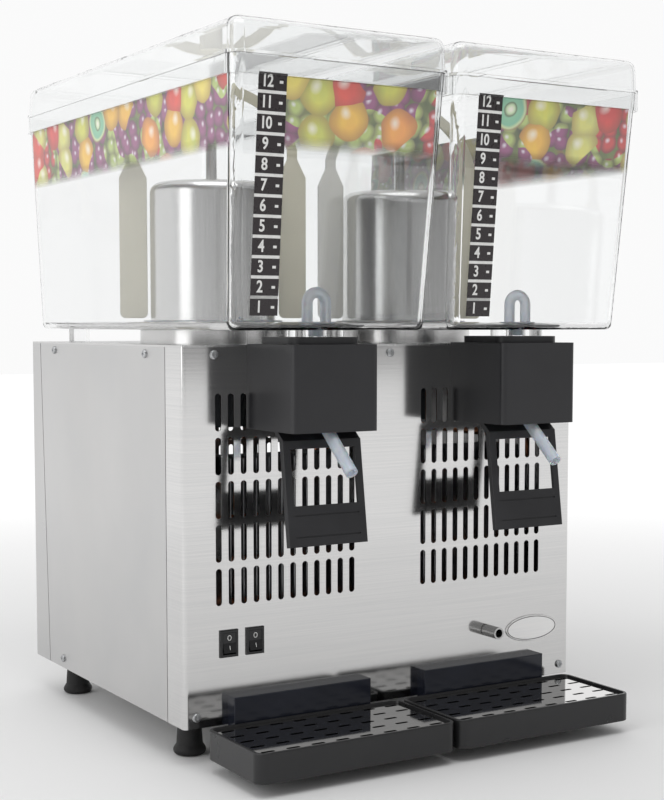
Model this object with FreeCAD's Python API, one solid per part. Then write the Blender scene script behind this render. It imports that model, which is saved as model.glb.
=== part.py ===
import FreeCAD, Part
import math
import os
from FreeCAD import Vector

# Refrigerated twin-bowl cold drink dispenser, in millimetres.
#
# x = 0 is the middle of the machine and +x is the user's right.  While the pieces are made, y = 0 is the
# outer face of the front panel with the user on the -y side, and z = 0 is the table.  Each piece is moved
# along y just before it is written, so that the origin of the files is the bottom centre of the machine.

os.makedirs("parts", exist_ok=True)

UP = Vector(0, 0, 1)
SIDES = {"left": -1, "right": 1}

# ---- driving dimensions ----------------------------------------------------------------------------

STATION_PITCH = 200.0        # between the two bowls, taps and drums
CLEARANCE = 0.3              # between pieces that lift off, slide or turn
RUNNING = 0.05               # radial clearance of shafts and pins

# cabinet
CABINET_WIDTH = 394.0
CABINET_DEPTH = 330.0
CABINET_HEIGHT = 306.0
FOOT_HEIGHT = 32.0
SHEET = 1.2
TOP_SHEET = 1.5
CORNER_RADIUS = 4.0
FRONT_RETURN = 30.0          # front panel's return along each side
BACK_RETURN_TOP = 20.0       # back panel's return, at the top and at the foot
BACK_RETURN_FOOT = 35.0
SEAM = 1.0                   # open line between two panels
FLANGE = 14.0                # upturned edge of the base and downturned edge of the top
TONGUE = 14.0                # strip that backs each seam

# air slots in the front panel
SLOT_WIDTH = 5.3
SLOT_LENGTH = 30.0
SLOT_PITCH_X = 11.4
SLOT_PITCH_Z = 35.1
SLOT_COLUMNS = 12
SLOT_ROWS = 5
SLOT_FIELD_X = {"left": -102.6, "right": 95.5}
SLOT_FIRST_ROW = 112.3       # middle of the lowest row above the cabinet's foot

# feet
FOOT_INSET_X = 25.0
FOOT_INSET_Y = 42.0
FOOT_FLOOR_RADIUS = 13.5
FOOT_WAIST_RADIUS = 11.0
FOOT_TOP_RADIUS = 10.0
FOOT_HEM = 3.0
RUBBER_HEIGHT = 24.0
STUD_RADIUS = 4.0

# bowls and lids
BOWL_LIFT = 12.0             # from the cabinet's top to the underside of a bowl
BOWL_HEIGHT = 201.0
BOWL_WALL = 3.0
BOWL_FOOT_HALF_WIDTH = 88.0
BOWL_TOP_HALF_WIDTH = 95.5
BOWL_FOOT_FRONT = -68.5
BOWL_TOP_FRONT = -86.5
BOWL_FOOT_BEHIND = 2.0       # overhang behind the cabinet
BOWL_TOP_BEHIND = 8.5
BOWL_CORNER = 9.0
BOWL_FOOT_ROUND = 5.0
LID_WALL = 2.0
LID_SKIRT = 17.0
LID_STEP = 1.5               # from the skirt's outside in to the crown's
LID_HEIGHT = 28.0            # above the bowl's rim
LID_TAPER = 1.0
LID_ROUND = 9.0
LID_GAP = 0.5
OUTLET_BOSS_RADIUS = 22.0
PLUG_RADIUS = 6.0
PLUG_FLANGE_RADIUS = 15.0
PLUG_FLANGE = 3.0
LOOP_RISE = 28.0             # top of the plug's loop above its flange
LOOP_HALF = 8.5
LOOP_WIRE = 4.4
LUG_LENGTH = 15.0

# cooling drum and its agitator
DRUM_Y = 135.0
DRUM_RADIUS = 54.0
DRUM_HEIGHT = 128.0          # above the underside of the bowl
DRUM_ROUND = 9.0
DRUM_WALL = 1.5
DRUM_BASE_RIM = 11.0         # width of the ring round the drum's foot
SEAL_THICKNESS = 4.6
SEAL_HEIGHT = 6.0
SEAL_LIP = 2.0
SHAFT_RADIUS = 4.75
PADDLE_DRUM_GAP = 3.0
PADDLE_BOWL_GAP = 4.0
PADDLE_THICKNESS = 4.5
PADDLE_HEIGHT = 139.0
YOKE_RISE = 58.0             # from the paddles' necks to the top of the arch
YOKE_WIDTH = 9.0
HUB_RADIUS = 10.0
HUB_DEPTH = 34.0
SLEEVE_WALL = 1.5
TAIL_INSET = 9.0             # coil tails inside the drum's wall
TAIL_SPREAD = 8.0
COIL_TURNS = 6
COIL_PITCH = 18.0
COIL_PIPE = 3.2
AGITATOR_TURN = {"left": -31.0, "right": -12.0}

# tap: housing, lever, tube
HOUSING_WIDTH = 77.5
HOUSING_REACH = 74.4
HOUSING_HEIGHT = 68.0
HOUSING_WALL = 3.0
HOUSING_EDGE = 4.5
HOUSING_TOP_DROP = -1.0      # housing's top below the cabinet's top
OUTLET_Y = -42.0
COLLAR_HEIGHT = 5.5
TUBE_RADIUS = 5.0
TUBE_BORE = 3.5
TUBE_REACH = 54.0            # how far the tube's tip stands in front of its vertical run
TUBE_DROP = 46.0
COLLAR_INSET = 7.75          # collar's sides inside the housing's
ANVIL_DEPTH = 4.0
LEVER_INSET = 2.75           # lever's sides inside the housing's
LEVER_DROP = 7.0             # gap between the housing and the lever's frame
LEVER_FACE_Y = -52.0
LEVER_HEIGHT = 83.0
LEVER_SHEET = 3.0
LEVER_BORDER = 6.5
LEVER_FLANGE = 5.0
PAD_HEIGHT = 32.0
GROOVE_WIDTH = 1.2
GROOVE_DEPTH = 0.8
GROOVE_INSET = 7.0
LEVER_LEAN = 8.0             # degrees, foot of the lever towards the user
PIN_RADIUS = 2.5
PIN_FIT = 0.02               # the pin is tight in the housing
PIN_COVER = 1.0              # housing wall left outside each end of the pin
PIVOT_Y = -30.0
PIVOT_RISE = 5.0             # above the housing's lower edge
SPRING_RADIUS = 4.5
SPRING_WIRE = 0.7
SPRING_PITCH = 6.0
SPRING_Y = -14.0
TAIL_SHEET = 4.0
PINCH_RISE = 42.0            # pinch nose above the pivot
NOSE_DEPTH = 6.0
NOSE_HALF_HEIGHT = 3.0
ARM_INNER = 9.0
ARM_OUTER = 13.0

# drip trays
TRAY_WIDTH = 182.5
TRAY_DEPTH = 88.0
TRAY_HEIGHT = 24.0
TRAY_FLOOR_Z = 11.0
TRAY_GAP = 3.0
TRAY_WALL = 2.5
TRAY_LEDGE = 3.0
TRAY_CORNER = 9.0
GRID_SHEET = 1.2
GRID_DROP = 2.0
GRID_COLUMNS = 8
GRID_ROWS = 5
GRID_SLOT_HALF_LENGTH = 6.0
GRID_SLOT_HALF_WIDTH = 1.8
BRACKET_INSET = 26.25        # bracket's ends inside the tray's
BRACKET_REACH = 11.5
BRACKET_TOP = 56.0
BRACKET_FOOT = 14.0
BRACKET_WALL = 2.5
TAB_THICKNESS = 3.5
TAB_LENGTH = 7.0
TAB_RISE = 10.0              # above the tray's underside

# switches, drain and badge on the front panel
SWITCH_X = (-156.9, -133.1)
SWITCH_Z = 98.2
SWITCH_WIDTH = 16.4
SWITCH_HEIGHT = 22.3
SWITCH_RIM = 2.2
SWITCH_DEPTH = 15.0
SWITCH_FACE = 1.8
ROCKER_TILT = 7.0
ROCKER_PIVOT_Y = 3.0
ROCKER_AXLE = 1.0
DRAIN_X = 102.0
DRAIN_Z = 81.7
DRAIN_RADIUS = 5.25
DRAIN_REACH = 19.0
DRAIN_STEP = 1.0             # from the panel to where the hose's length of tube begins
DRAIN_NECK_RADIUS = 4.75
DRAIN_BORE = 3.75
BADGE_X = 153.0
BADGE_Z = 78.5
BADGE_WIDTH = 58.0
BADGE_HEIGHT = 24.0
BADGE_THICKNESS = 1.2

# machinery
FAN_X = -62.0
FAN_Z = 160.0
FAN_RADIUS = 72.0
FAN_BLADES = 5
FAN_PITCH = 28.0             # degrees
CONDENSER_INSET = 49.0       # fins' ends inside the cabinet's sides
CONDENSER_FRONT = 20.0
CONDENSER_DEPTH = 40.0
CONDENSER_FOOT = 70.0
CONDENSER_ROW = 35.0
CONDENSER_ROWS = 5
FIN_PITCH = 12.0
PIPE_RADIUS = 4.0
COMPRESSOR_X = 95.0
COMPRESSOR_FROM_BACK = 105.0
COMPRESSOR_RADIUS = 70.0
COMPRESSOR_TOP = 215.0
MOUNT_HEIGHT = 12.0
PLATE_HALF_X = 82.0
PLATE_HALF_Y = 62.0
MOUNT_INSET = 12.0
MOTOR_TAIL_GAP = 5.8         # from the gearbox to the coil tails behind it
MOTOR_LENGTH = 72.0
SHAFT_IN_MOTOR = 20.0
DRIER_X = -150.0
DRIER_FROM_BACK = 100.0
DRIER_LOW = 95.0
DRIER_HIGH = 195.0
DRIER_RADIUS = 11.0
CAPILLARY_RADIUS = 1.5
CONTROL_DEPTH = 34.0
CONTROL_Y = (92.0, 172.0)
CONTROL_Z = (212.0, 296.0)
GLAND_X = -150.0
GLAND_Z = 75.0
GLAND_RADIUS = 8.0
GLAND_BORE = 4.0

# ---- levels and faces that follow from them --------------------------------------------------------

half_width = CABINET_WIDTH / 2
base_z = FOOT_HEIGHT
top_z = base_z + CABINET_HEIGHT
deck_z = top_z - TOP_SHEET                 # underside of the top plate's sheet
panel_foot = base_z
panel_head = deck_z
bowl_z = top_z + BOWL_LIFT
rim_z = bowl_z + BOWL_HEIGHT
lid_top_z = rim_z + LID_HEIGHT
drum_top_z = bowl_z + DRUM_HEIGHT
housing_top_z = top_z - HOUSING_TOP_DROP
housing_foot_z = housing_top_z - HOUSING_HEIGHT
tray_top_z = TRAY_FLOOR_Z + TRAY_HEIGHT
tray_back = -(BRACKET_REACH + 2 * CLEARANCE)
tray_front = tray_back - TRAY_DEPTH
bowl_foot_back = CABINET_DEPTH + BOWL_FOOT_BEHIND
bowl_top_back = CABINET_DEPTH + BOWL_TOP_BEHIND
lid_back = bowl_top_back + LID_GAP + LID_WALL
paddle_inner = DRUM_RADIUS + PADDLE_DRUM_GAP
paddle_outer = BOWL_FOOT_HALF_WIDTH - BOWL_WALL - PADDLE_BOWL_GAP
paddle_middle = (paddle_inner + paddle_outer) / 2
lever_width = HOUSING_WIDTH - 2 * LEVER_INSET
bracket_width = TRAY_WIDTH - 2 * BRACKET_INSET
condenser_half_width = half_width - CONDENSER_INSET
motor_radius = DRUM_RADIUS - TAIL_INSET - COIL_PIPE - MOTOR_TAIL_GAP
pan_z = base_z + SHEET                     # upper face of the base
back_y = CABINET_DEPTH
compressor_y = back_y - COMPRESSOR_FROM_BACK

ORIGIN_SHIFT = Vector(0, -(tray_front + lid_back) / 2, 0)


def station_x(side):
    return SIDES[side] * STATION_PITCH / 2


# ---- shape helpers ---------------------------------------------------------------------------------

def box(x0, x1, y0, y1, z0, z1):
    return Part.makeBox(x1 - x0, y1 - y0, z1 - z0, Vector(x0, y0, z0))


def rod(radius, start, end):
    """Round bar from one point to another."""
    run = end - start
    return Part.makeCylinder(radius, run.Length, start, run)


def post(radius, x, y, z0, z1):
    return rod(radius, Vector(x, y, z0), Vector(x, y, z1))


def arc(a, b, c):
    return Part.Arc(a, b, c).toShape()


def line(a, b):
    return Part.makeLine(a, b)


def rounded_outline(x0, x1, y0, y1, radius, z):
    """Closed rectangle at height z with its four corners rounded."""
    short = radius * (1 - math.sqrt(0.5))
    edges = [
        line(Vector(x0 + radius, y0, z), Vector(x1 - radius, y0, z)),
        arc(Vector(x1 - radius, y0, z), Vector(x1 - short, y0 + short, z), Vector(x1, y0 + radius, z)),
        line(Vector(x1, y0 + radius, z), Vector(x1, y1 - radius, z)),
        arc(Vector(x1, y1 - radius, z), Vector(x1 - short, y1 - short, z), Vector(x1 - radius, y1, z)),
        line(Vector(x1 - radius, y1, z), Vector(x0 + radius, y1, z)),
        arc(Vector(x0 + radius, y1, z), Vector(x0 + short, y1 - short, z), Vector(x0, y1 - radius, z)),
        line(Vector(x0, y1 - radius, z), Vector(x0, y0 + radius, z)),
        arc(Vector(x0, y0 + radius, z), Vector(x0 + short, y0 + short, z), Vector(x0 + radius, y0, z)),
    ]
    return Part.Wire(edges)


def rounded_block(x0, x1, y0, y1, z0, z1, radius):
    outline = rounded_outline(x0, x1, y0, y1, radius, z0)
    return Part.Face(outline).extrude(Vector(0, 0, z1 - z0))


def side_prism(points, x0, x1):
    """Prism along x from a list of (y, z) corners."""
    corners = [Vector(x0, y, z) for y, z in points]
    outline = Part.makePolygon(corners + corners[:1])
    return Part.Face(outline).extrude(Vector(x1 - x0, 0, 0))


def slot(x, z, length, width, y0, y1):
    """Upright slot cutter with round ends, centred on (x, z)."""
    radius = width / 2
    half = length / 2 - radius
    low = z - half
    high = z + half
    outline = Part.Wire([
        line(Vector(x - radius, y0, low), Vector(x - radius, y0, high)),
        arc(Vector(x - radius, y0, high), Vector(x, y0, high + radius), Vector(x + radius, y0, high)),
        line(Vector(x + radius, y0, high), Vector(x + radius, y0, low)),
        arc(Vector(x + radius, y0, low), Vector(x, y0, low - radius), Vector(x - radius, y0, low)),
    ])
    return Part.Face(outline).extrude(Vector(0, y1 - y0, 0))


def bent_path(points, bend):
    """Straight runs through the points, with a tangent arc at each corner."""
    edges = []
    start = points[0]
    for before, corner, after in zip(points, points[1:], points[2:]):
        back = (before - corner).normalize()
        ahead = (after - corner).normalize()
        half = back.getAngle(ahead) / 2
        inward = (back + ahead).normalize()
        arc_start = corner + back * (bend / math.tan(half))
        arc_end = corner + ahead * (bend / math.tan(half))
        arc_middle = corner + inward * (bend / math.sin(half) - bend)
        edges.append(line(start, arc_start))
        edges.append(arc(arc_start, arc_middle, arc_end))
        start = arc_end
    edges.append(line(start, points[-1]))
    return Part.Wire(edges)


def pipe(points, bend, radius):
    """Round bar bent along the points."""
    circle = Part.Circle(points[0], points[1] - points[0], radius).toShape()
    return bent_path(points, bend).makePipeShell([Part.Wire(circle)], True, False)


def helix_spring(x, y, z0, z1, radius, wire, pitch):
    """Coil spring standing between two levels."""
    path = Part.makeHelix(pitch, z1 - z0 - 2 * wire, radius)
    circle = Part.Circle(Vector(radius, 0, 0), Vector(0, 1, 0), wire).toShape()
    spring = path.makePipeShell([Part.Wire(circle)], True, True)
    spring.translate(Vector(x, y, z0 + wire))
    return spring


def joined(first, *others):
    return first.fuse(list(others)).removeSplitter()


def turned(profile_edges, centre):
    """Solid of revolution about the upright line through the centre point."""
    face = Part.Face(Part.Wire(profile_edges))
    solid = face.revolve(Vector(0, 0, 0), UP, 360)
    solid.translate(centre)
    return solid


def rounded_upright_edges(shape, radius, keep):
    """Fillet the upright edges that the keep test picks by their middle point."""
    edges = []
    for edge in shape.Edges:
        is_line = isinstance(edge.Curve, Part.Line)
        if is_line and abs(edge.tangentAt(edge.FirstParameter).z) > 0.99 and keep(edge.CenterOfMass):
            edges.append(edge)
    return shape.makeFillet(radius, edges)


def save(name, shape):
    """Write one sub-part in the origin's frame."""
    moved = shape.copy()
    moved.translate(ORIGIN_SHIFT)
    moved.exportStep("parts/" + name + ".step")


def group(name, shapes):
    save(name, Part.makeCompound(shapes))


# ---- places shared by several pieces ---------------------------------------------------------------

foot_places = [
    (sx * (half_width - FOOT_INSET_X), y)
    for sx in (-1, 1)
    for y in (FOOT_INSET_Y, back_y - FOOT_INSET_Y)
]

SCREW_RADIUS = 1.9
SCREW_HOLE = 2.0
SCREW_HEAD = 3.6
HEAD_HEIGHT = 1.9
SCREW_LENGTH = 7.0
HIGH_SCREW = top_z - 7.5
LOW_SCREW = base_z + 9.0

# each screw: where its head sits on the panel, and the way it goes in
HIGH_SCREW_INSET = 28.5
LOW_SCREW_INSET = 11.0
BACK_SCREW_INSET = 47.0
high_screw_x = half_width - HIGH_SCREW_INSET
low_screw_x = half_width - LOW_SCREW_INSET
back_screw_x = half_width - BACK_SCREW_INSET
front_screws = [Vector(x, 0, HIGH_SCREW) for x in (-high_screw_x, -2.0, high_screw_x)]
front_screws += [Vector(x, 0, LOW_SCREW) for x in (-low_screw_x, low_screw_x)]
back_screws = [Vector(x, back_y, z) for x in (-back_screw_x, back_screw_x) for z in (HIGH_SCREW, LOW_SCREW)]
side_screws = [
    Vector(sx * half_width, y, z)
    for sx in (-1, 1)
    for y, z in ((68.7, HIGH_SCREW), (back_y - 57.5, HIGH_SCREW), (back_y - 70.0, LOW_SCREW))
]
TAP_SCREW_SPREAD = 25.0
TAP_SCREW_DROP = 36.0
tap_screws = [
    Vector(station_x(side) + dx, 0, housing_top_z - TAP_SCREW_DROP)
    for side in SIDES
    for dx in (-TAP_SCREW_SPREAD, TAP_SCREW_SPREAD)
]
tail_offset = DRUM_RADIUS - TAIL_INSET     # coil tails behind the drum's axis
tail_places = [
    (station_x(side) + dx, DRUM_Y + tail_offset)
    for side in SIDES
    for dx in (-TAIL_SPREAD, TAIL_SPREAD)
]


def screw(head, inward):
    """Pan-head screw with a cross recess; the head's seat is at the given point."""
    face = head - inward * HEAD_HEIGHT
    shank = rod(SCREW_RADIUS, head, head + inward * SCREW_LENGTH)
    cap = rod(SCREW_HEAD, head, face)
    face_edges = [edge for edge in cap.Edges if (edge.CenterOfMass - face).Length < HEAD_HEIGHT / 4]
    cap = cap.makeFillet(HEAD_HEIGHT * 0.6, face_edges)
    reach = SCREW_HEAD * 0.55
    recess = [rod(0.6, face - across * reach, face + across * reach) for across in (UP, inward.cross(UP))]
    return joined(shank, cap).cut(recess)


def screw_hole(head, inward, length=SCREW_LENGTH + 3.0):
    return rod(SCREW_HOLE, head - inward, head + inward * length)


inward_front = Vector(0, 1, 0)
inward_back = Vector(0, -1, 0)


def inward_side(place):
    return Vector(-1 if place.x > 0 else 1, 0, 0)


all_panel_screws = [(place, inward_front) for place in front_screws]
all_panel_screws += [(place, inward_back) for place in back_screws]
all_panel_screws += [(place, inward_side(place)) for place in side_screws]
panel_screw_holes = [screw_hole(place, way) for place, way in all_panel_screws]
tap_screw_seats = [(place + inward_front * SHEET, inward_back) for place in tap_screws]
tap_screw_holes = [screw_hole(place, way, HOUSING_WALL + SHEET + 1.0) for place, way in tap_screw_seats]


# ---- cabinet ---------------------------------------------------------------------------------------

def open_pan(x, y0, y1, floor_z, edge_z, sheet):
    """Shallow tray of sheet, half width x, with its edge standing up or down from the floor."""
    low = min(floor_z, edge_z)
    high = max(floor_z, edge_z)
    inner_low = low if edge_z < floor_z else low + sheet
    inner_high = high - sheet if edge_z < floor_z else high
    outer = box(-x, x, y0, y1, low, high)
    outer = rounded_upright_edges(outer, CORNER_RADIUS - SHEET, lambda middle: middle.y < back_y / 2)
    return outer.cut(box(-x + sheet, x - sheet, y0 + sheet, y1 - sheet, inner_low, inner_high))


def make_base_plate():
    inner = half_width - SHEET
    pan = open_pan(inner, SHEET, back_y - SHEET, base_z, base_z + FLANGE, SHEET)
    studs = [post(STUD_RADIUS + CLEARANCE, x, y, base_z - 1, pan_z + 1) for x, y in foot_places]
    return pan.cut(studs + panel_screw_holes)


def make_top_plate():
    inner = half_width - SHEET
    lip = open_pan(inner, SHEET, back_y - SHEET, deck_z + SHEET, deck_z - FLANGE, SHEET)
    sheet = box(-half_width, half_width, 0, back_y, deck_z, top_z)
    sheet = rounded_upright_edges(sheet, CORNER_RADIUS, lambda middle: middle.y < back_y / 2)
    holes = [post(SHAFT_RADIUS + 6.0, station_x(side), DRUM_Y, deck_z - 2, top_z + 1) for side in SIDES]
    holes += [post(PIPE_RADIUS + 1.0, x, y, deck_z - 2, top_z + 1) for x, y in tail_places]
    return joined(sheet, lip).cut(holes + panel_screw_holes)


def slot_field(side):
    first_x = SLOT_FIELD_X[side] - SLOT_PITCH_X * (SLOT_COLUMNS - 1) / 2
    first_z = base_z + SLOT_FIRST_ROW
    return [
        slot(first_x + column * SLOT_PITCH_X, first_z + row * SLOT_PITCH_Z, SLOT_LENGTH, SLOT_WIDTH, -1, SHEET + 1)
        for column in range(SLOT_COLUMNS)
        for row in range(SLOT_ROWS)
    ]


def drain_rod(radius, y0, y1):
    return rod(radius, Vector(DRAIN_X, y0, DRAIN_Z), Vector(DRAIN_X, y1, DRAIN_Z))


def make_front_panel():
    outer = box(-half_width, half_width, 0, FRONT_RETURN, panel_foot, panel_head)
    outer = rounded_upright_edges(outer, CORNER_RADIUS, lambda middle: middle.y < SHEET)
    inner_x = half_width - SHEET
    inner = box(-inner_x, inner_x, SHEET, FRONT_RETURN + 1, panel_foot - 1, panel_head + 1)
    inner = rounded_upright_edges(inner, CORNER_RADIUS - SHEET, lambda middle: middle.y < 2 * SHEET)
    panel = outer.cut(inner)
    cutters = slot_field("left") + slot_field("right") + panel_screw_holes + tap_screw_holes
    body_x = SWITCH_WIDTH / 2 - 1.0
    body_z = SWITCH_HEIGHT / 2 - 1.0
    for x in SWITCH_X:
        cutters.append(box(x - body_x, x + body_x, -1, SHEET + 1, SWITCH_Z - body_z, SWITCH_Z + body_z))
    cutters.append(drain_rod(DRAIN_NECK_RADIUS + RUNNING, -1, SHEET + 1))
    return panel.cut(cutters)


def tongue(sx, y0, y1):
    """Strip just inside a side face that backs a seam, clear of the base and top edges."""
    outer_x = sx * (half_width - SHEET)
    inner_x = sx * (half_width - 2 * SHEET)
    low = base_z + FLANGE + CLEARANCE
    high = deck_z - FLANGE - CLEARANCE
    return box(min(outer_x, inner_x), max(outer_x, inner_x), y0, y1, low, high)


def rear_seam(offset):
    """The seam line on the side face, as its y at the foot and at the head."""
    return back_y - BACK_RETURN_FOOT + offset, back_y - BACK_RETURN_TOP + offset


def make_side_panel(side):
    sx = SIDES[side]
    front = FRONT_RETURN + SEAM
    foot_y, head_y = rear_seam(-SEAM)
    corners = [(front, panel_foot), (foot_y, panel_foot), (head_y, panel_head), (front, panel_head)]
    sheet = side_prism(corners, sx * (half_width - SHEET), sx * half_width)
    return joined(sheet, tongue(sx, front - TONGUE, front + TONGUE)).cut(panel_screw_holes)


BACK_SLOT_COLUMNS = 18
BACK_SLOT_ROWS = 4


def make_back_panel():
    foot_y, head_y = rear_seam(0)
    corners = [(foot_y, panel_foot), (back_y, panel_foot), (back_y, panel_head), (head_y, panel_head)]
    outer = side_prism(corners, -half_width, half_width)
    inner_x = half_width - SHEET
    panel = outer.cut(box(-inner_x, inner_x, 0, back_y - SHEET, panel_foot - 1, panel_head + 1))
    backing_front = foot_y - TONGUE
    panel = joined(panel, *[tongue(sx, backing_front, back_y - SHEET) for sx in SIDES.values()])
    first_x = -SLOT_PITCH_X * (BACK_SLOT_COLUMNS - 1) / 2
    first_z = base_z + SLOT_FIRST_ROW
    cutters = [
        slot(first_x + column * SLOT_PITCH_X, first_z + row * SLOT_PITCH_Z, SLOT_LENGTH, SLOT_WIDTH,
             back_y - SHEET - 1, back_y + 1)
        for column in range(BACK_SLOT_COLUMNS)
        for row in range(BACK_SLOT_ROWS)
    ]
    gland = rod(GLAND_RADIUS, Vector(GLAND_X, back_y - SHEET - 1, GLAND_Z), Vector(GLAND_X, back_y + 1, GLAND_Z))
    return panel.cut(cutters + [gland] + panel_screw_holes)


def make_foot(x, y):
    """Rubber foot: body on a wider disc with a rounded hem, and a blind hole for its stud."""
    hem = FOOT_HEM
    hem_top = Vector(FOOT_FLOOR_RADIUS - 0.6, 0, 2 * hem)
    waist = Vector(FOOT_WAIST_RADIUS, 0, 3 * hem)
    profile = [
        line(Vector(0, 0, 0), Vector(FOOT_FLOOR_RADIUS - hem, 0, 0)),
        arc(Vector(FOOT_FLOOR_RADIUS - hem, 0, 0), Vector(FOOT_FLOOR_RADIUS, 0, hem), hem_top),
        line(hem_top, waist),
        line(waist, Vector(FOOT_TOP_RADIUS, 0, RUBBER_HEIGHT)),
        line(Vector(FOOT_TOP_RADIUS, 0, RUBBER_HEIGHT), Vector(0, 0, RUBBER_HEIGHT)),
        line(Vector(0, 0, RUBBER_HEIGHT), Vector(0, 0, 0)),
    ]
    body = turned(profile, Vector(x, y, 0))
    return body.cut(post(STUD_RADIUS + RUNNING, x, y, RUBBER_HEIGHT / 2, RUBBER_HEIGHT + 1))


def make_foot_stud(x, y):
    nut_radius = STUD_RADIUS * 1.9
    nut_height = base_z - RUBBER_HEIGHT
    stud = post(STUD_RADIUS, x, y, RUBBER_HEIGHT / 2, pan_z + nut_height)
    hexagon = [
        Vector(x + nut_radius * math.cos(turn), y + nut_radius * math.sin(turn), RUBBER_HEIGHT)
        for turn in [math.radians(60 * k) for k in range(6)]
    ]
    nut = Part.Face(Part.makePolygon(hexagon + hexagon[:1])).extrude(Vector(0, 0, nut_height))
    return joined(stud, nut)


# ---- bowls, lids and seals -------------------------------------------------------------------------

def bowl_section(x, z, inset):
    """Outline of a bowl at height z, drawn in by the inset; the sides lean out to the rim."""
    share = (z - bowl_z) / BOWL_HEIGHT
    half = BOWL_FOOT_HALF_WIDTH + share * (BOWL_TOP_HALF_WIDTH - BOWL_FOOT_HALF_WIDTH) - inset
    front = BOWL_FOOT_FRONT + share * (BOWL_TOP_FRONT - BOWL_FOOT_FRONT) + inset
    back = bowl_foot_back + share * (bowl_top_back - bowl_foot_back) - inset
    return rounded_outline(x - half, x + half, front, back, BOWL_CORNER - inset, z)


def edges_at_height(shape, z):
    return [edge for edge in shape.Edges if abs(edge.BoundBox.ZMin - z) < 0.01 and abs(edge.BoundBox.ZMax - z) < 0.01]


def make_bowl(side):
    """Clear tapered box, open at the top, with a collar round the drum and a boss at the outlet."""
    x = station_x(side)
    outer = Part.makeLoft([bowl_section(x, bowl_z, 0), bowl_section(x, rim_z, 0)], True, True)
    outer = outer.makeFillet(BOWL_FOOT_ROUND, edges_at_height(outer, bowl_z))
    floor_z = bowl_z + BOWL_WALL
    inner = Part.makeLoft([bowl_section(x, floor_z, BOWL_WALL), bowl_section(x, rim_z + 1, BOWL_WALL)], True, True)
    inner = inner.makeFillet(BOWL_FOOT_ROUND - 1, edges_at_height(inner, floor_z))
    shell = outer.cut(inner)
    seal_outer = DRUM_RADIUS + RUNNING + SEAL_THICKNESS
    collar = post(seal_outer + BOWL_WALL, x, DRUM_Y, bowl_z, bowl_z + SEAL_HEIGHT)
    boss_z = housing_top_z + COLLAR_HEIGHT + CLEARANCE
    boss = post(OUTLET_BOSS_RADIUS, x, OUTLET_Y, boss_z, floor_z)
    lugs = [
        box(x + dx - LUG_LENGTH / 2, x + dx + LUG_LENGTH / 2, back_y - 2 * LUG_LENGTH, back_y - LUG_LENGTH,
            top_z + CLEARANCE, floor_z)
        for dx in (-BOWL_FOOT_HALF_WIDTH + 2 * LUG_LENGTH, BOWL_FOOT_HALF_WIDTH - 2 * LUG_LENGTH)
    ]
    drum_hole = post(seal_outer + RUNNING, x, DRUM_Y, bowl_z - 1, bowl_z + SEAL_HEIGHT + 1)
    outlet_hole = post(PLUG_RADIUS + RUNNING, x, OUTLET_Y, boss_z - 1, floor_z + 1)
    return joined(shell, collar, boss, *lugs).cut([drum_hole, outlet_hole])


def make_bowl_seal(side):
    """Ring between the bowl's collar and the drum, with a small lip on top."""
    x = station_x(side)
    outer = DRUM_RADIUS + RUNNING + SEAL_THICKNESS
    ring = post(outer, x, DRUM_Y, bowl_z + CLEARANCE, bowl_z + SEAL_HEIGHT + SEAL_LIP)
    lip = post(outer + BOWL_WALL / 2, x, DRUM_Y, bowl_z + SEAL_HEIGHT + RUNNING, bowl_z + SEAL_HEIGHT + SEAL_LIP)
    return joined(ring, lip).cut(post(DRUM_RADIUS + CLEARANCE, x, DRUM_Y, bowl_z, bowl_z + 2 * SEAL_HEIGHT))


def make_lid(side):
    """Cap whose skirt hangs round the bowl's rim, with a rounded crown that leans in a little."""
    x = station_x(side)

    def outline(z, grow, radius):
        half = BOWL_TOP_HALF_WIDTH + grow
        return rounded_outline(x - half, x + half, BOWL_TOP_FRONT - grow, bowl_top_back + grow, radius, z)

    skirt_grow = LID_GAP + LID_WALL
    crown_grow = skirt_grow - LID_STEP
    crown_corner = BOWL_CORNER + crown_grow
    ledge_z = rim_z + CLEARANCE
    skirt_foot = ledge_z + LID_WALL - LID_SKIRT
    skirt = Part.Face(outline(skirt_foot, skirt_grow, BOWL_CORNER + skirt_grow)).extrude(UP * LID_SKIRT)
    skirt_bore = Part.Face(outline(skirt_foot - 1, LID_GAP, BOWL_CORNER)).extrude(UP * (ledge_z - skirt_foot + 1))
    crown_wires = [
        outline(ledge_z, crown_grow, crown_corner),
        outline(lid_top_z, crown_grow - LID_TAPER, crown_corner),
    ]
    crown = Part.makeLoft(crown_wires, True, True)
    crown = crown.makeFillet(LID_ROUND, edges_at_height(crown, lid_top_z))
    cave_top = lid_top_z - LID_WALL
    cave_wires = [
        outline(ledge_z - 1, crown_grow - LID_WALL, crown_corner - LID_WALL),
        outline(cave_top, crown_grow - LID_TAPER - LID_WALL, crown_corner - LID_WALL),
    ]
    cave = Part.makeLoft(cave_wires, True, True)
    cave = cave.makeFillet(LID_ROUND - LID_WALL, edges_at_height(cave, cave_top))
    return joined(skirt, crown).cut([skirt_bore, cave])


# ---- cooling drums and agitators -------------------------------------------------------------------

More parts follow.
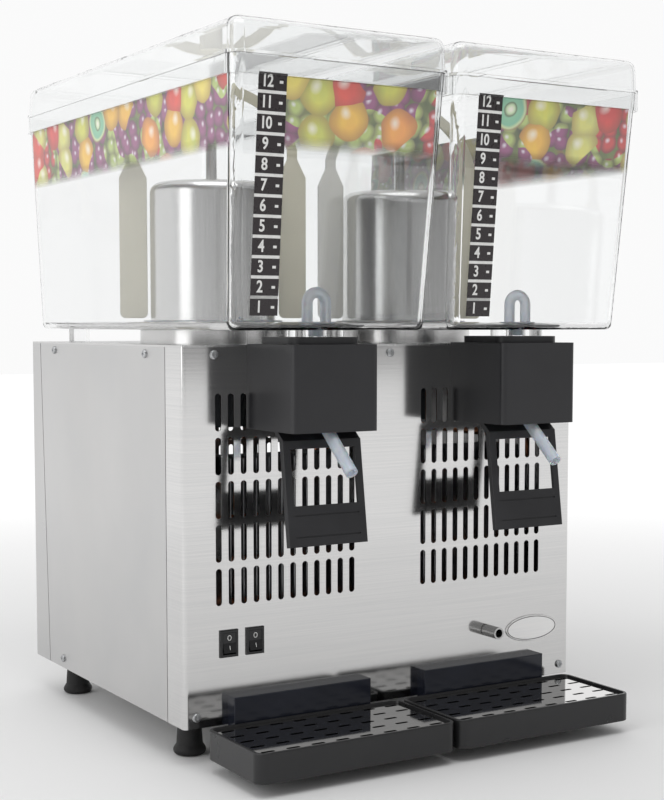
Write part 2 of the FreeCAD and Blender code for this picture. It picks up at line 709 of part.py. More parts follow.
def make_evaporator(side):
    """Stainless drum, open below, with a sleeve up its middle for the shaft."""
    x = station_x(side)
    drum = post(DRUM_RADIUS, x, DRUM_Y, top_z, drum_top_z)
    drum = drum.makeFillet(DRUM_ROUND, edges_at_height(drum, drum_top_z))
    hollow = post(DRUM_RADIUS - DRUM_WALL, x, DRUM_Y, top_z - 1, drum_top_z - DRUM_WALL)
    hollow = hollow.makeFillet(DRUM_ROUND - DRUM_WALL, edges_at_height(hollow, drum_top_z - DRUM_WALL))
    bore_radius = SHAFT_RADIUS + RUNNING
    sleeve = post(bore_radius + SLEEVE_WALL, x, DRUM_Y, top_z, drum_top_z - DRUM_WALL / 2)
    bore = post(bore_radius, x, DRUM_Y, top_z - 1, drum_top_z + 1)
    return joined(drum.cut(hollow), sleeve).cut(bore)


def make_drum_base(side):
    """Polished ring that stands round the drum's foot and carries the bowl's floor round its hole."""
    x = station_x(side)
    ring = post(DRUM_RADIUS + DRUM_BASE_RIM, x, DRUM_Y, top_z, bowl_z)
    ring = ring.makeFillet(1.0, edges_at_height(ring, bowl_z))
    return ring.cut(post(DRUM_RADIUS + RUNNING, x, DRUM_Y, top_z - 1, bowl_z + 1))


def make_evaporator_coil(side):
    """Stack of copper rings on two upright tails that pass down through the top plate."""
    x = station_x(side)
    first_z = bowl_z + COIL_PITCH / 2
    ring_radius = math.hypot(tail_offset, TAIL_SPREAD)
    rings = [
        Part.makeTorus(ring_radius, COIL_PIPE, Vector(x, DRUM_Y, first_z + turn * COIL_PITCH), UP)
        for turn in range(COIL_TURNS)
    ]
    last_z = first_z + (COIL_TURNS - 1) * COIL_PITCH
    tails = [
        post(PIPE_RADIUS, x + dx, DRUM_Y + tail_offset, deck_z - FLANGE, last_z)
        for dx in (-TAIL_SPREAD, TAIL_SPREAD)
    ]
    return joined(rings[0], *(rings[1:] + tails))


paddle_foot_z = bowl_z + SEAL_HEIGHT + 2 * SEAL_LIP
paddle_head_z = paddle_foot_z + PADDLE_HEIGHT
yoke_spring_z = paddle_head_z + 8.0        # where the arch springs from the paddles' necks
yoke_top_z = yoke_spring_z + YOKE_RISE
shaft_top_z = yoke_top_z - YOKE_WIDTH


def make_paddle(sx):
    """Flat blade in the x-z plane: round lower corners, shoulders that narrow to the neck."""
    middle = paddle_middle
    neck = YOKE_WIDTH / 2
    round_foot = 5.0
    shoulder = 16.0
    corner = round_foot * (1 - math.sqrt(0.5))

    def point(r, z):
        return Vector(sx * r, -PADDLE_THICKNESS / 2, z)

    foot = paddle_foot_z
    head = paddle_head_z
    outline = Part.Wire([
        line(point(paddle_inner + round_foot, foot), point(paddle_outer - round_foot, foot)),
        arc(point(paddle_outer - round_foot, foot), point(paddle_outer - corner, foot + corner),
            point(paddle_outer, foot + round_foot)),
        line(point(paddle_outer, foot + round_foot), point(paddle_outer, head - shoulder)),
        line(point(paddle_outer, head - shoulder), point(middle + neck, head)),
        line(point(middle + neck, head), point(middle + neck, yoke_spring_z + 1)),
        line(point(middle + neck, yoke_spring_z + 1), point(middle - neck, yoke_spring_z + 1)),
        line(point(middle - neck, yoke_spring_z + 1), point(middle - neck, head)),
        line(point(middle - neck, head), point(paddle_inner, head - shoulder)),
        line(point(paddle_inner, head - shoulder), point(paddle_inner, foot + round_foot)),
        arc(point(paddle_inner, foot + round_foot), point(paddle_inner + corner, foot + corner),
            point(paddle_inner + round_foot, foot)),
    ])
    return Part.Face(outline).extrude(Vector(0, PADDLE_THICKNESS, 0))


def make_agitator(side):
    """Two paddles hung from an arch whose hub drops onto the shaft."""
    middle = paddle_middle
    neck = YOKE_WIDTH / 2
    y = -PADDLE_THICKNESS / 2
    arch = Part.Wire([
        arc(Vector(-middle - neck, y, yoke_spring_z), Vector(0, y, yoke_top_z),
            Vector(middle + neck, y, yoke_spring_z)),
        line(Vector(middle + neck, y, yoke_spring_z), Vector(middle - neck, y, yoke_spring_z)),
        arc(Vector(middle - neck, y, yoke_spring_z), Vector(0, y, yoke_top_z - YOKE_WIDTH),
            Vector(-middle + neck, y, yoke_spring_z)),
        line(Vector(-middle + neck, y, yoke_spring_z), Vector(-middle - neck, y, yoke_spring_z)),
    ])
    arch = Part.Face(arch).extrude(Vector(0, PADDLE_THICKNESS, 0))
    hub = post(HUB_RADIUS, 0, 0, yoke_top_z - YOKE_WIDTH / 2 - HUB_DEPTH, yoke_top_z - YOKE_WIDTH / 2)
    hub = hub.makeFillet(1.5, edges_at_height(hub, yoke_top_z - YOKE_WIDTH / 2 - HUB_DEPTH))
    socket = post(SHAFT_RADIUS + RUNNING, 0, 0, yoke_top_z - YOKE_WIDTH - HUB_DEPTH, shaft_top_z + CLEARANCE)
    agitator = joined(arch, hub, make_paddle(-1), make_paddle(1)).cut(socket)
    agitator.rotate(Vector(0, 0, 0), UP, AGITATOR_TURN[side])
    agitator.translate(Vector(station_x(side), DRUM_Y, 0))
    return agitator


def make_drive_shaft(side):
    shaft = post(SHAFT_RADIUS, station_x(side), DRUM_Y, deck_z - SHAFT_IN_MOTOR, shaft_top_z)
    return shaft.makeChamfer(0.8, edges_at_height(shaft, shaft_top_z))


GEARBOX_SHARE = 0.4          # of the length
MOTOR_WAIST = 0.8            # motor's radius to the gearbox's


def make_gear_motor(side):
    """Round gearbox under the top plate with a slimmer motor hanging from it."""
    x = station_x(side)
    gearbox_foot = deck_z - MOTOR_LENGTH * GEARBOX_SHARE
    gearbox = post(motor_radius, x, DRUM_Y, gearbox_foot, deck_z)
    motor = post(motor_radius * MOTOR_WAIST, x, DRUM_Y, deck_z - MOTOR_LENGTH, gearbox_foot)
    bore = post(SHAFT_RADIUS + RUNNING, x, DRUM_Y, deck_z - SHAFT_IN_MOTOR - CLEARANCE, deck_z + 1)
    return joined(gearbox, motor).cut(bore)


# ---- taps ------------------------------------------------------------------------------------------

pivot_z = housing_foot_z + PIVOT_RISE
pinch_z = pivot_z + PINCH_RISE
spring_seat_z = pivot_z + TAIL_SHEET / 2
ceiling_z = housing_top_z - HOUSING_WALL
tube_front = OUTLET_Y - TUBE_RADIUS - CLEARANCE
tube_rear = OUTLET_Y + TUBE_RADIUS + CLEARANCE
pin_half = HOUSING_WIDTH / 2 - PIN_COVER


def tap_pin(side, radius, half):
    """Round bar along the lever's pivot."""
    x = station_x(side)
    return rod(radius, Vector(x - half, PIVOT_Y, pivot_z), Vector(x + half, PIVOT_Y, pivot_z))


def make_tap_housing(side):
    """Box open below that hangs on the front panel, with a collar for the bowl's outlet."""
    x = station_x(side)
    half = HOUSING_WIDTH / 2
    shell = box(x - half, x + half, -HOUSING_REACH, 0, housing_foot_z, housing_top_z)
    shell = rounded_upright_edges(shell, HOUSING_EDGE, lambda middle: middle.y < -HOUSING_REACH / 2)
    inner = half - HOUSING_WALL
    front = -HOUSING_REACH + HOUSING_WALL
    cave = box(x - inner, x + inner, front, -HOUSING_WALL, housing_foot_z - 1, ceiling_z)
    collar_half = half - COLLAR_INSET
    collar_front = OUTLET_Y - OUTLET_BOSS_RADIUS
    collar_z = housing_top_z + COLLAR_HEIGHT
    collar = rounded_block(x - collar_half, x + collar_half, collar_front, -1.0, housing_top_z - 1, collar_z, 12.0)
    anvil_half = ARM_INNER - 2.0
    anvil_foot = pinch_z - 8.0
    anvil = box(x - anvil_half, x + anvil_half, tube_rear, tube_rear + ANVIL_DEPTH, anvil_foot, ceiling_z)
    spring_post = post(SPRING_RADIUS - SPRING_WIRE - 0.5, x, SPRING_Y, ceiling_z - 8.0, ceiling_z)
    tube_hole = post(TUBE_RADIUS + CLEARANCE, x, OUTLET_Y, ceiling_z - 1, collar_z + 1)
    pin_hole = tap_pin(side, PIN_RADIUS + PIN_FIT, pin_half + PIN_FIT)
    body = joined(shell.cut(cave), collar, anvil, spring_post)
    return body.cut([tube_hole, pin_hole] + tap_screw_holes)


def lever_blank(x):
    """Upright window frame with a ribbed push pad, before it is leaned over."""
    half = lever_width / 2
    top = housing_foot_z - LEVER_DROP
    foot = top - LEVER_HEIGHT
    pad_top = foot + PAD_HEIGHT
    face = LEVER_FACE_Y
    plate = box(x - half, x + half, face, face + LEVER_SHEET, foot, top)
    flanges = [
        box(x + edge, x + edge + LEVER_SHEET, face, face + LEVER_FLANGE, foot, top)
        for edge in (-half, half - LEVER_SHEET)
    ]
    blank = rounded_upright_edges(joined(plate, *flanges), 1.2, lambda middle: abs(middle.y - face) < 0.01)
    window_half = half - LEVER_BORDER
    window = box(x - window_half, x + window_half, face - 1, face + LEVER_SHEET + 1, pad_top, top - LEVER_BORDER)
    grooves = [
        box(x - window_half, x + window_half, face - 1, face + GROOVE_DEPTH, z, z + GROOVE_WIDTH)
        for z in (foot + GROOVE_INSET, pad_top - GROOVE_INSET - GROOVE_WIDTH)
    ]
    blank = blank.cut([window] + grooves)
    blank.rotate(Vector(x, face, top), Vector(1, 0, 0), -LEVER_LEAN)
    return blank


def make_lever(side):
    """The leaned frame on its pivot boss, which carries the pinch arms, the nose and the spring's tail."""
    x = station_x(side)
    ear_half = HOUSING_WIDTH / 2 - HOUSING_WALL - 2 * CLEARANCE
    boss_radius = PIN_RADIUS + 2.5
    boss = tap_pin(side, boss_radius, ear_half)
    frame_top = housing_foot_z - LEVER_DROP
    web_back = PIVOT_Y - 2.0
    web_corners = [
        (LEVER_FACE_Y, frame_top - 4.0),
        (LEVER_FACE_Y, frame_top - 0.2),
        (web_back, pivot_z + 3.5),
        (web_back, pivot_z - 1.0),
        (LEVER_FACE_Y + LEVER_SHEET, frame_top - 4.5),
    ]
    web = side_prism(web_corners, x - ear_half, x + ear_half)
    nose_top = pinch_z + NOSE_HALF_HEIGHT
    arm_corners = [
        (PIVOT_Y - boss_radius, pivot_z + 1.0),
        (tube_front - NOSE_DEPTH, nose_top),
        (tube_front, nose_top),
        (PIVOT_Y, pivot_z + 2.0),
    ]
    arms = [
        side_prism(arm_corners, x + low, x + high)
        for low, high in ((-ARM_OUTER, -ARM_INNER), (ARM_INNER, ARM_OUTER))
    ]
    nose = box(x - ARM_OUTER, x + ARM_OUTER, tube_front - NOSE_DEPTH, tube_front, pinch_z - NOSE_HALF_HEIGHT,
               nose_top)
    tail_half = SPRING_RADIUS + SPRING_WIRE + 1.0
    tail = box(x - tail_half, x + tail_half, PIVOT_Y, SPRING_Y + tail_half, spring_seat_z - TAIL_SHEET,
               spring_seat_z)
    bore = tap_pin(side, PIN_RADIUS + RUNNING, ear_half + 1)
    return joined(lever_blank(x), boss, web, *arms, nose, tail).cut(bore)


def make_lever_spring(side):
    return helix_spring(station_x(side), SPRING_Y, spring_seat_z, ceiling_z, SPRING_RADIUS, SPRING_WIRE,
                        SPRING_PITCH)


TUBE_BEND = 18.0
TUBE_BEND_RISE = 16.0        # corner of the tube's route above the housing's lower edge


def make_pour_tube(side):
    """Soft tube: straight down from the outlet, then leaning out to the user; hollow from end to end."""
    x = station_x(side)
    top = Vector(x, OUTLET_Y, housing_top_z + COLLAR_HEIGHT)
    corner = Vector(x, OUTLET_Y, housing_foot_z + TUBE_BEND_RISE)
    tip = Vector(x, OUTLET_Y - TUBE_REACH, corner.z - TUBE_DROP)
    outside = pipe([top, corner, tip], TUBE_BEND, TUBE_RADIUS)
    return outside.cut(pipe([top, corner, tip], TUBE_BEND, TUBE_BORE))


def make_outlet_plug(side):
    """Clear soft plug: shank through the bowl's floor, flange on it and a loop to pull it out by."""
    x = station_x(side)
    floor_z = bowl_z + BOWL_WALL
    flange_top = floor_z + PLUG_FLANGE
    shank_foot = housing_top_z + COLLAR_HEIGHT + 2 * CLEARANCE
    shank = post(PLUG_RADIUS, x, OUTLET_Y, shank_foot, flange_top)
    flange = post(PLUG_FLANGE_RADIUS, x, OUTLET_Y, floor_z, flange_top)
    flange = flange.makeFillet(PLUG_FLANGE * 0.4, edges_at_height(flange, flange_top))
    bore = post(TUBE_BORE, x, OUTLET_Y, shank_foot - 1, flange_top + 1)
    loop_foot = floor_z + 1
    straight_top = flange_top + LOOP_RISE - LOOP_HALF - LOOP_WIRE
    path = Part.Wire([
        line(Vector(x - LOOP_HALF, OUTLET_Y, loop_foot), Vector(x - LOOP_HALF, OUTLET_Y, straight_top)),
        arc(Vector(x - LOOP_HALF, OUTLET_Y, straight_top), Vector(x, OUTLET_Y, straight_top + LOOP_HALF),
            Vector(x + LOOP_HALF, OUTLET_Y, straight_top)),
        line(Vector(x + LOOP_HALF, OUTLET_Y, straight_top), Vector(x + LOOP_HALF, OUTLET_Y, loop_foot)),
    ])
    circle = Part.Circle(Vector(x - LOOP_HALF, OUTLET_Y, loop_foot), UP, LOOP_WIRE).toShape()
    loop = path.makePipeShell([Part.Wire(circle)], True, False)
    return joined(shank, flange).cut(bore).fuse(loop)


# ---- drip trays ------------------------------------------------------------------------------------

def tray_span(side):
    """Lowest and highest x of a tray."""
    inner = TRAY_GAP / 2
    outer = inner + TRAY_WIDTH
    return (-outer, -inner) if side == "left" else (inner, outer)


tab_z = TRAY_FLOOR_Z + TAB_RISE


def make_drip_tray(side):
    """Tub with rounded corners, a ledge for its grid and a tab that plugs into the bracket."""
    x0, x1 = tray_span(side)
    tub = rounded_block(x0, x1, tray_front, tray_back, TRAY_FLOOR_Z, tray_top_z, TRAY_CORNER)
    tub = tub.makeFillet(1.0, edges_at_height(tub, TRAY_FLOOR_Z) + edges_at_height(tub, tray_top_z))
    ledge_z = tray_top_z - GRID_DROP - GRID_SHEET - CLEARANCE
    upper = rounded_block(x0 + TRAY_WALL, x1 - TRAY_WALL, tray_front + TRAY_WALL, tray_back - TRAY_WALL,
                          ledge_z, tray_top_z + 1, TRAY_CORNER - TRAY_WALL)
    step = TRAY_WALL + TRAY_LEDGE
    lower = rounded_block(x0 + step, x1 - step, tray_front + step, tray_back - step,
                          TRAY_FLOOR_Z + TRAY_WALL, ledge_z + 1, TRAY_CORNER - TRAY_WALL)
    middle = (x0 + x1) / 2
    tab_half = bracket_width / 2 - 3 * BRACKET_WALL
    tab = box(middle - tab_half, middle + tab_half, tray_back - 1, tray_back + TAB_LENGTH, tab_z,
              tab_z + TAB_THICKNESS)
    return joined(tub.cut([upper, lower]), tab)


def make_tray_grid(side):
    """Polished plate with rows of short slots."""
    x0, x1 = tray_span(side)
    gap = TRAY_WALL + CLEARANCE
    top = tray_top_z - GRID_DROP
    plate = rounded_block(x0 + gap, x1 - gap, tray_front + gap, tray_back - gap, top - GRID_SHEET, top,
                          TRAY_CORNER - gap)
    pitch_x = (TRAY_WIDTH - 2 * gap) / GRID_COLUMNS
    pitch_y = (TRAY_DEPTH - 2 * gap) / GRID_ROWS
    slots = []
    for column in range(GRID_COLUMNS):
        for row in range(GRID_ROWS):
            middle_x = x0 + gap + pitch_x * (column + 0.5)
            middle_y = tray_front + gap + pitch_y * (row + 0.5)
            slots.append(rounded_block(
                middle_x - GRID_SLOT_HALF_LENGTH, middle_x + GRID_SLOT_HALF_LENGTH,
                middle_y - GRID_SLOT_HALF_WIDTH, middle_y + GRID_SLOT_HALF_WIDTH,
                top - GRID_SHEET - 1, top + 1, GRID_SLOT_HALF_WIDTH - 0.01))
    return plate.cut(slots)


def make_tray_bracket(side):
    """Rail on the front panel with a pocket that takes the tray's tab."""
    x0, x1 = tray_span(side)
    middle = (x0 + x1) / 2
    half = bracket_width / 2
    rail = box(middle - half, middle + half, -BRACKET_REACH, 0, BRACKET_FOOT, BRACKET_TOP)
    rail = rail.makeFillet(0.8, [edge for edge in rail.Edges if edge.CenterOfMass.y < -BRACKET_REACH + 0.01])
    pocket_half = half - 2 * BRACKET_WALL
    pocket = box(middle - pocket_half, middle + pocket_half, -BRACKET_REACH - 1, -BRACKET_WALL,
                 tab_z - 2 * CLEARANCE, tab_z + TAB_THICKNESS + 2 * CLEARANCE)
    return rail.cut(pocket)


# ---- fittings on the front panel -------------------------------------------------------------------

def make_switch_housing(x):
    """Rim on the panel's face and a body behind it, with a pocket for the rocker."""
    rim = box(x - SWITCH_WIDTH / 2, x + SWITCH_WIDTH / 2, -SWITCH_FACE, 0, SWITCH_Z - SWITCH_HEIGHT / 2,
              SWITCH_Z + SWITCH_HEIGHT / 2)
    rim = rim.makeFillet(0.7, [edge for edge in rim.Edges if edge.CenterOfMass.y < 0.01 - SWITCH_FACE])
    body_x = SWITCH_WIDTH / 2 - 1.0 - RUNNING
    body_z = SWITCH_HEIGHT / 2 - 1.0 - RUNNING
    body = box(x - body_x, x + body_x, -0.5, SWITCH_DEPTH, SWITCH_Z - body_z, SWITCH_Z + body_z)
    pocket_x = SWITCH_WIDTH / 2 - SWITCH_RIM
    pocket_z = SWITCH_HEIGHT / 2 - SWITCH_RIM
    pocket = box(x - pocket_x, x + pocket_x, -3, ROCKER_PIVOT_Y + 6.0, SWITCH_Z - pocket_z, SWITCH_Z + pocket_z)
    axle = rod(ROCKER_AXLE + RUNNING, Vector(x - pocket_x - 1.0, ROCKER_PIVOT_Y, SWITCH_Z),
               Vector(x + pocket_x + 1.0, ROCKER_PIVOT_Y, SWITCH_Z))
    return joined(rim, body).cut([pocket, axle])


def make_switch_rocker(x):
    """Rocker with two faces in a shallow V, resting tilted about its small axle."""
    half_x = SWITCH_WIDTH / 2 - SWITCH_RIM - CLEARANCE
    half_z = SWITCH_HEIGHT / 2 - SWITCH_RIM - 3 * CLEARANCE
    rise = half_z * math.tan(math.radians(ROCKER_TILT))
    front = 0.2 - SWITCH_FACE
    corners = [
        (front - rise, SWITCH_Z - half_z),
        (front, SWITCH_Z),
        (front - rise, SWITCH_Z + half_z),
        (ROCKER_PIVOT_Y, SWITCH_Z + half_z),
        (ROCKER_PIVOT_Y + 3.5, SWITCH_Z + 3.0),
        (ROCKER_PIVOT_Y + 3.5, SWITCH_Z - 3.0),
        (ROCKER_PIVOT_Y, SWITCH_Z - half_z),
    ]
    rocker = side_prism(corners, x - half_x, x + half_x)
    axle = rod(ROCKER_AXLE, Vector(x - half_x - 1.0, ROCKER_PIVOT_Y, SWITCH_Z),
               Vector(x + half_x + 1.0, ROCKER_PIVOT_Y, SWITCH_Z))
    rocker = joined(rocker, axle)
    rocker.rotate(Vector(x, ROCKER_PIVOT_Y, SWITCH_Z), Vector(1, 0, 0), -ROCKER_TILT)
    return rocker


def make_drain_tube():
    """Stub of tube with a narrower neck through the panel, held by a nut inside."""
    inner_end = CONDENSER_FRONT - 4.0
    stub = drain_rod(DRAIN_RADIUS, -DRAIN_REACH, -DRAIN_STEP)
    neck = drain_rod(DRAIN_NECK_RADIUS, -DRAIN_REACH / 2, inner_end)
    nut = drain_rod(2 * DRAIN_RADIUS, SHEET, SHEET + 5.0)
    bore = drain_rod(DRAIN_BORE, -DRAIN_REACH - 1, inner_end + 1)
    return joined(stub, neck, nut).cut(bore)


def make_badge_plate():
    """Blank oval plate with a softened edge."""
    middle = Vector(BADGE_X, -BADGE_THICKNESS, BADGE_Z)
    ellipse = Part.Ellipse(middle, BADGE_WIDTH / 2, BADGE_HEIGHT / 2).toShape()
    ellipse.rotate(middle, Vector(1, 0, 0), 90)
    plate = Part.Face(Part.Wire(ellipse)).extrude(Vector(0, BADGE_THICKNESS, 0))
    front_edges = [edge for edge in plate.Edges if edge.CenterOfMass.y < 0.01 - BADGE_THICKNESS]
    return plate.makeFillet(BADGE_THICKNESS / 2, front_edges)


# ---- machinery in the cabinet ----------------------------------------------------------------------

condenser_y = CONDENSER_FRONT + CONDENSER_DEPTH / 2
condenser_head = CONDENSER_FOOT + CONDENSER_ROW * CONDENSER_ROWS
row_z = [CONDENSER_FOOT + CONDENSER_ROW * (row + 0.5) for row in range(CONDENSER_ROWS)]
cheek_x = condenser_half_width + 4.0
coil_end_x = cheek_x + 12.0
run_x = cheek_x + 26.0                     # pipes that run beside the condenser


def make_condenser_fins():
    """Row of thin upright plates threaded on the coil."""
    count = int(2 * condenser_half_width / FIN_PITCH) + 1
    first = -FIN_PITCH * (count - 1) / 2
    holes = [
        rod(PIPE_RADIUS + 0.5 + RUNNING, Vector(-1, condenser_y, z), Vector(2, condenser_y, z)) for z in row_z
    ]
    fin = box(0, 0.8, CONDENSER_FRONT, CONDENSER_FRONT + CONDENSER_DEPTH, CONDENSER_FOOT, condenser_head)
    fin = fin.cut(holes)
    fins = []
    for index in range(count):
        copy = fin.copy()
        copy.translate(Vector(first + index * FIN_PITCH - 0.4, 0, 0))
        fins.append(copy)
    return fins


def make_condenser_coil():
    """One pipe that runs to and fro through the fins from the lower left to the upper right."""
    bend = CONDENSER_ROW / 2
    edges = []
    start = Vector(-coil_end_x, condenser_y, row_z[0])
    for row, z in enumerate(row_z):
        way = 1 if row % 2 == 0 else -1
        if row == CONDENSER_ROWS - 1:
            edges.append(line(start, Vector(way * coil_end_x, condenser_y, z)))
            break
        end = Vector(way * cheek_x, condenser_y, z)
        next_start = Vector(way * cheek_x, condenser_y, row_z[row + 1])
        edges.append(line(start, end))
        edges.append(arc(end, Vector(end.x + way * bend, condenser_y, z + bend), next_start))
        start = next_start
    circle = Part.Circle(Vector(-coil_end_x, condenser_y, row_z[0]), Vector(1, 0, 0), PIPE_RADIUS + 0.5).toShape()
    return Part.Wire(edges).makePipeShell([Part.Wire(circle)], True, False)


def make_fan_shroud():
    """Folded sheet: a plate with the fan's hole, and a cheek each side that carries the coil."""
    back = CONDENSER_FRONT + CONDENSER_DEPTH + 4.0
    plate = box(-cheek_x, cheek_x, back - SHEET, back, pan_z, condenser_head)
    hole = rod(FAN_RADIUS + 6.0, Vector(FAN_X, back - 2 * SHEET, FAN_Z), Vector(FAN_X, back + SHEET, FAN_Z))
    cheeks = [
        box(min(a, b), max(a, b), CONDENSER_FRONT - 2.0, back, pan_z, condenser_head)
        for a, b in ((-cheek_x, -cheek_x + SHEET), (cheek_x - SHEET, cheek_x))
    ]
    coil_holes = [
        rod(PIPE_RADIUS + 0.5 + RUNNING, Vector(-cheek_x - 1, condenser_y, z), Vector(cheek_x + 1, condenser_y, z))
        for z in row_z
    ]
    return joined(plate, *cheeks).cut([hole] + coil_holes)


fan_y = CONDENSER_FRONT + CONDENSER_DEPTH + 24.0
FAN_HUB_RADIUS = 16.0
FAN_HUB_LENGTH = 18.0
FAN_SHAFT_RADIUS = 3.0
FAN_BLADE_HALF = 17.0
FAN_MOTOR_RADIUS = 31.0
FAN_MOTOR_LENGTH = 46.0


def make_fan_blade():
    """Hub with five pitched blades, on a shaft along y."""
    hub = rod(FAN_HUB_RADIUS, Vector(FAN_X, fan_y - FAN_HUB_LENGTH / 2, FAN_Z),
              Vector(FAN_X, fan_y + FAN_HUB_LENGTH / 2, FAN_Z))
    blades = []
    for index in range(FAN_BLADES):
        blade = box(-FAN_BLADE_HALF, FAN_BLADE_HALF, -0.8, 0.8, FAN_HUB_RADIUS - 3, FAN_RADIUS)
        blade.rotate(Vector(0, 0, 0), UP, FAN_PITCH)
        blade.rotate(Vector(0, 0, 0), Vector(0, 1, 0), 360 / FAN_BLADES * index)
        blade.translate(Vector(FAN_X, fan_y, FAN_Z))
        blades.append(blade)
    bore = rod(FAN_SHAFT_RADIUS + RUNNING, Vector(FAN_X, fan_y - FAN_HUB_LENGTH, FAN_Z),
               Vector(FAN_X, fan_y + FAN_HUB_LENGTH, FAN_Z))
    return joined(hub, *blades).cut(bore)


def make_fan_motor():
    """Motor on a foot that stands on the base, with its shaft through the fan's hub."""
    front = fan_y + FAN_HUB_LENGTH / 2 + 6.0
    back = front + FAN_MOTOR_LENGTH
    can = rod(FAN_MOTOR_RADIUS, Vector(FAN_X, front, FAN_Z), Vector(FAN_X, back, FAN_Z))
    shaft = rod(FAN_SHAFT_RADIUS, Vector(FAN_X, fan_y - FAN_HUB_LENGTH / 2, FAN_Z), Vector(FAN_X, front + 1, FAN_Z))
    leg = box(FAN_X - 12, FAN_X + 12, front + 14, back - 14, pan_z, FAN_Z - 20)
    foot = box(FAN_X - 34, FAN_X + 34, front + 4, back - 4, pan_z, pan_z + 3)
    return joined(can, shaft, leg, foot)


plate_z = pan_z + MOUNT_HEIGHT
mount_places = [
    (COMPRESSOR_X + sx * (PLATE_HALF_X - MOUNT_INSET), compressor_y + sy * (PLATE_HALF_Y - MOUNT_INSET))
    for sx in (-1, 1)
    for sy in (-1, 1)
]
STUB_TOP = COMPRESSOR_TOP + 8.0
stub_places = {"discharge": (30.0, -25.0), "suction_left": (-35.0, -15.0), "suction_right": (-25.0, 14.0)}


def make_compressor():
    """Domed hermetic shell on its foot plate, with three pipe stubs."""
    bottom = plate_z + 2.0
    dome = 42.0
    radius = COMPRESSOR_RADIUS
    bulge = dome * math.sqrt(0.5)
    reach = radius * 0.72
    profile = [
        line(Vector(0, 0, bottom), Vector(radius * 0.35, 0, bottom)),
        arc(Vector(radius * 0.35, 0, bottom), Vector(reach, 0, bottom + dome - bulge),
            Vector(radius, 0, bottom + dome)),
        line(Vector(radius, 0, bottom + dome), Vector(radius, 0, COMPRESSOR_TOP - dome)),
        arc(Vector(radius, 0, COMPRESSOR_TOP - dome), Vector(reach, 0, COMPRESSOR_TOP - dome + bulge),
            Vector(radius * 0.35, 0, COMPRESSOR_TOP)),
        line(Vector(radius * 0.35, 0, COMPRESSOR_TOP), Vector(0, 0, COMPRESSOR_TOP)),
        line(Vector(0, 0, COMPRESSOR_TOP), Vector(0, 0, bottom)),
    ]
    shell = turned(profile, Vector(COMPRESSOR_X, compressor_y, 0))
    plate = box(COMPRESSOR_X - PLATE_HALF_X, COMPRESSOR_X + PLATE_HALF_X, compressor_y - PLATE_HALF_Y,
                compressor_y + PLATE_HALF_Y, plate_z, plate_z + 2.5)
    stubs = [
        post(PIPE_RADIUS + 1.0, COMPRESSOR_X + dx, compressor_y + dy, COMPRESSOR_TOP - dome, STUB_TOP)
        for dx, dy in stub_places.values()
    ]
    return joined(shell, plate, *stubs)


def make_filter_drier():
    y = back_y - DRIER_FROM_BACK
    low = DRIER_LOW + 8
    high = DRIER_HIGH - 8
    can = post(DRIER_RADIUS, DRIER_X, y, low, high)
    can = can.makeFillet(5.0, edges_at_height(can, low) + edges_at_height(can, high))
    return joined(can, post(PIPE_RADIUS, DRIER_X, y, DRIER_LOW, DRIER_HIGH))


def make_refrigerant_lines():
    """Copper lines between compressor, condenser, drier and the two drums' coils."""
    bend = 10.0
    drier_y = back_y - DRIER_FROM_BACK
    tail_y = DRUM_Y + tail_offset
    tail_z = deck_z - FLANGE
    high = STUB_TOP + 28.0

    def stub(name):
        dx, dy = stub_places[name]
        return Vector(COMPRESSOR_X + dx, compressor_y + dy, STUB_TOP)

    start = stub("discharge")
    discharge = [
        start,
        Vector(start.x, start.y, high),
        Vector(run_x, start.y, high),
        Vector(run_x, condenser_y, high),
        Vector(run_x, condenser_y, row_z[-1]),
        Vector(coil_end_x, condenser_y, row_z[-1]),
    ]
    low = row_z[0] - 26.0
    liquid = [
        Vector(-coil_end_x, condenser_y, row_z[0]),
        Vector(-run_x, condenser_y, row_z[0]),
        Vector(-run_x, condenser_y, low),
        Vector(-run_x, drier_y, low),
        Vector(DRIER_X, drier_y, low),
        Vector(DRIER_X, drier_y, DRIER_LOW),
    ]
    lines = [pipe(discharge, bend, PIPE_RADIUS), pipe(liquid, bend, PIPE_RADIUS)]
    for side in SIDES:
        lead = SIDES[side] * 2.0
        level = tail_z - 30.0 - lead * 4
        inlet = station_x(side) - TAIL_SPREAD
        capillary = [
            Vector(DRIER_X + lead, drier_y, DRIER_HIGH),
            Vector(DRIER_X + lead, drier_y, level),
            Vector(inlet, tail_y, level),
            Vector(inlet, tail_y, tail_z),
        ]
        lines.append(pipe(capillary, bend, CAPILLARY_RADIUS))
        end = stub("suction_" + side)
        outlet = station_x(side) + TAIL_SPREAD
        suction_level = end.z + (28.0 if side == "left" else 44.0)
        suction = [
            Vector(outlet, tail_y, tail_z),
            Vector(outlet, tail_y, suction_level),
            Vector(end.x, end.y, suction_level),
            end,
        ]
        lines.append(pipe(suction, bend, PIPE_RADIUS))
    return lines


def make_control_box():
    """Thermostat and relay box on the left side panel."""
    x0 = -half_width + SHEET
    block = box(x0, x0 + CONTROL_DEPTH, *CONTROL_Y, *CONTROL_Z)
    inner_face = x0 + CONTROL_DEPTH - 0.1
    return block.makeFillet(3.0, [edge for edge in block.Edges if edge.CenterOfMass.x > inner_face])


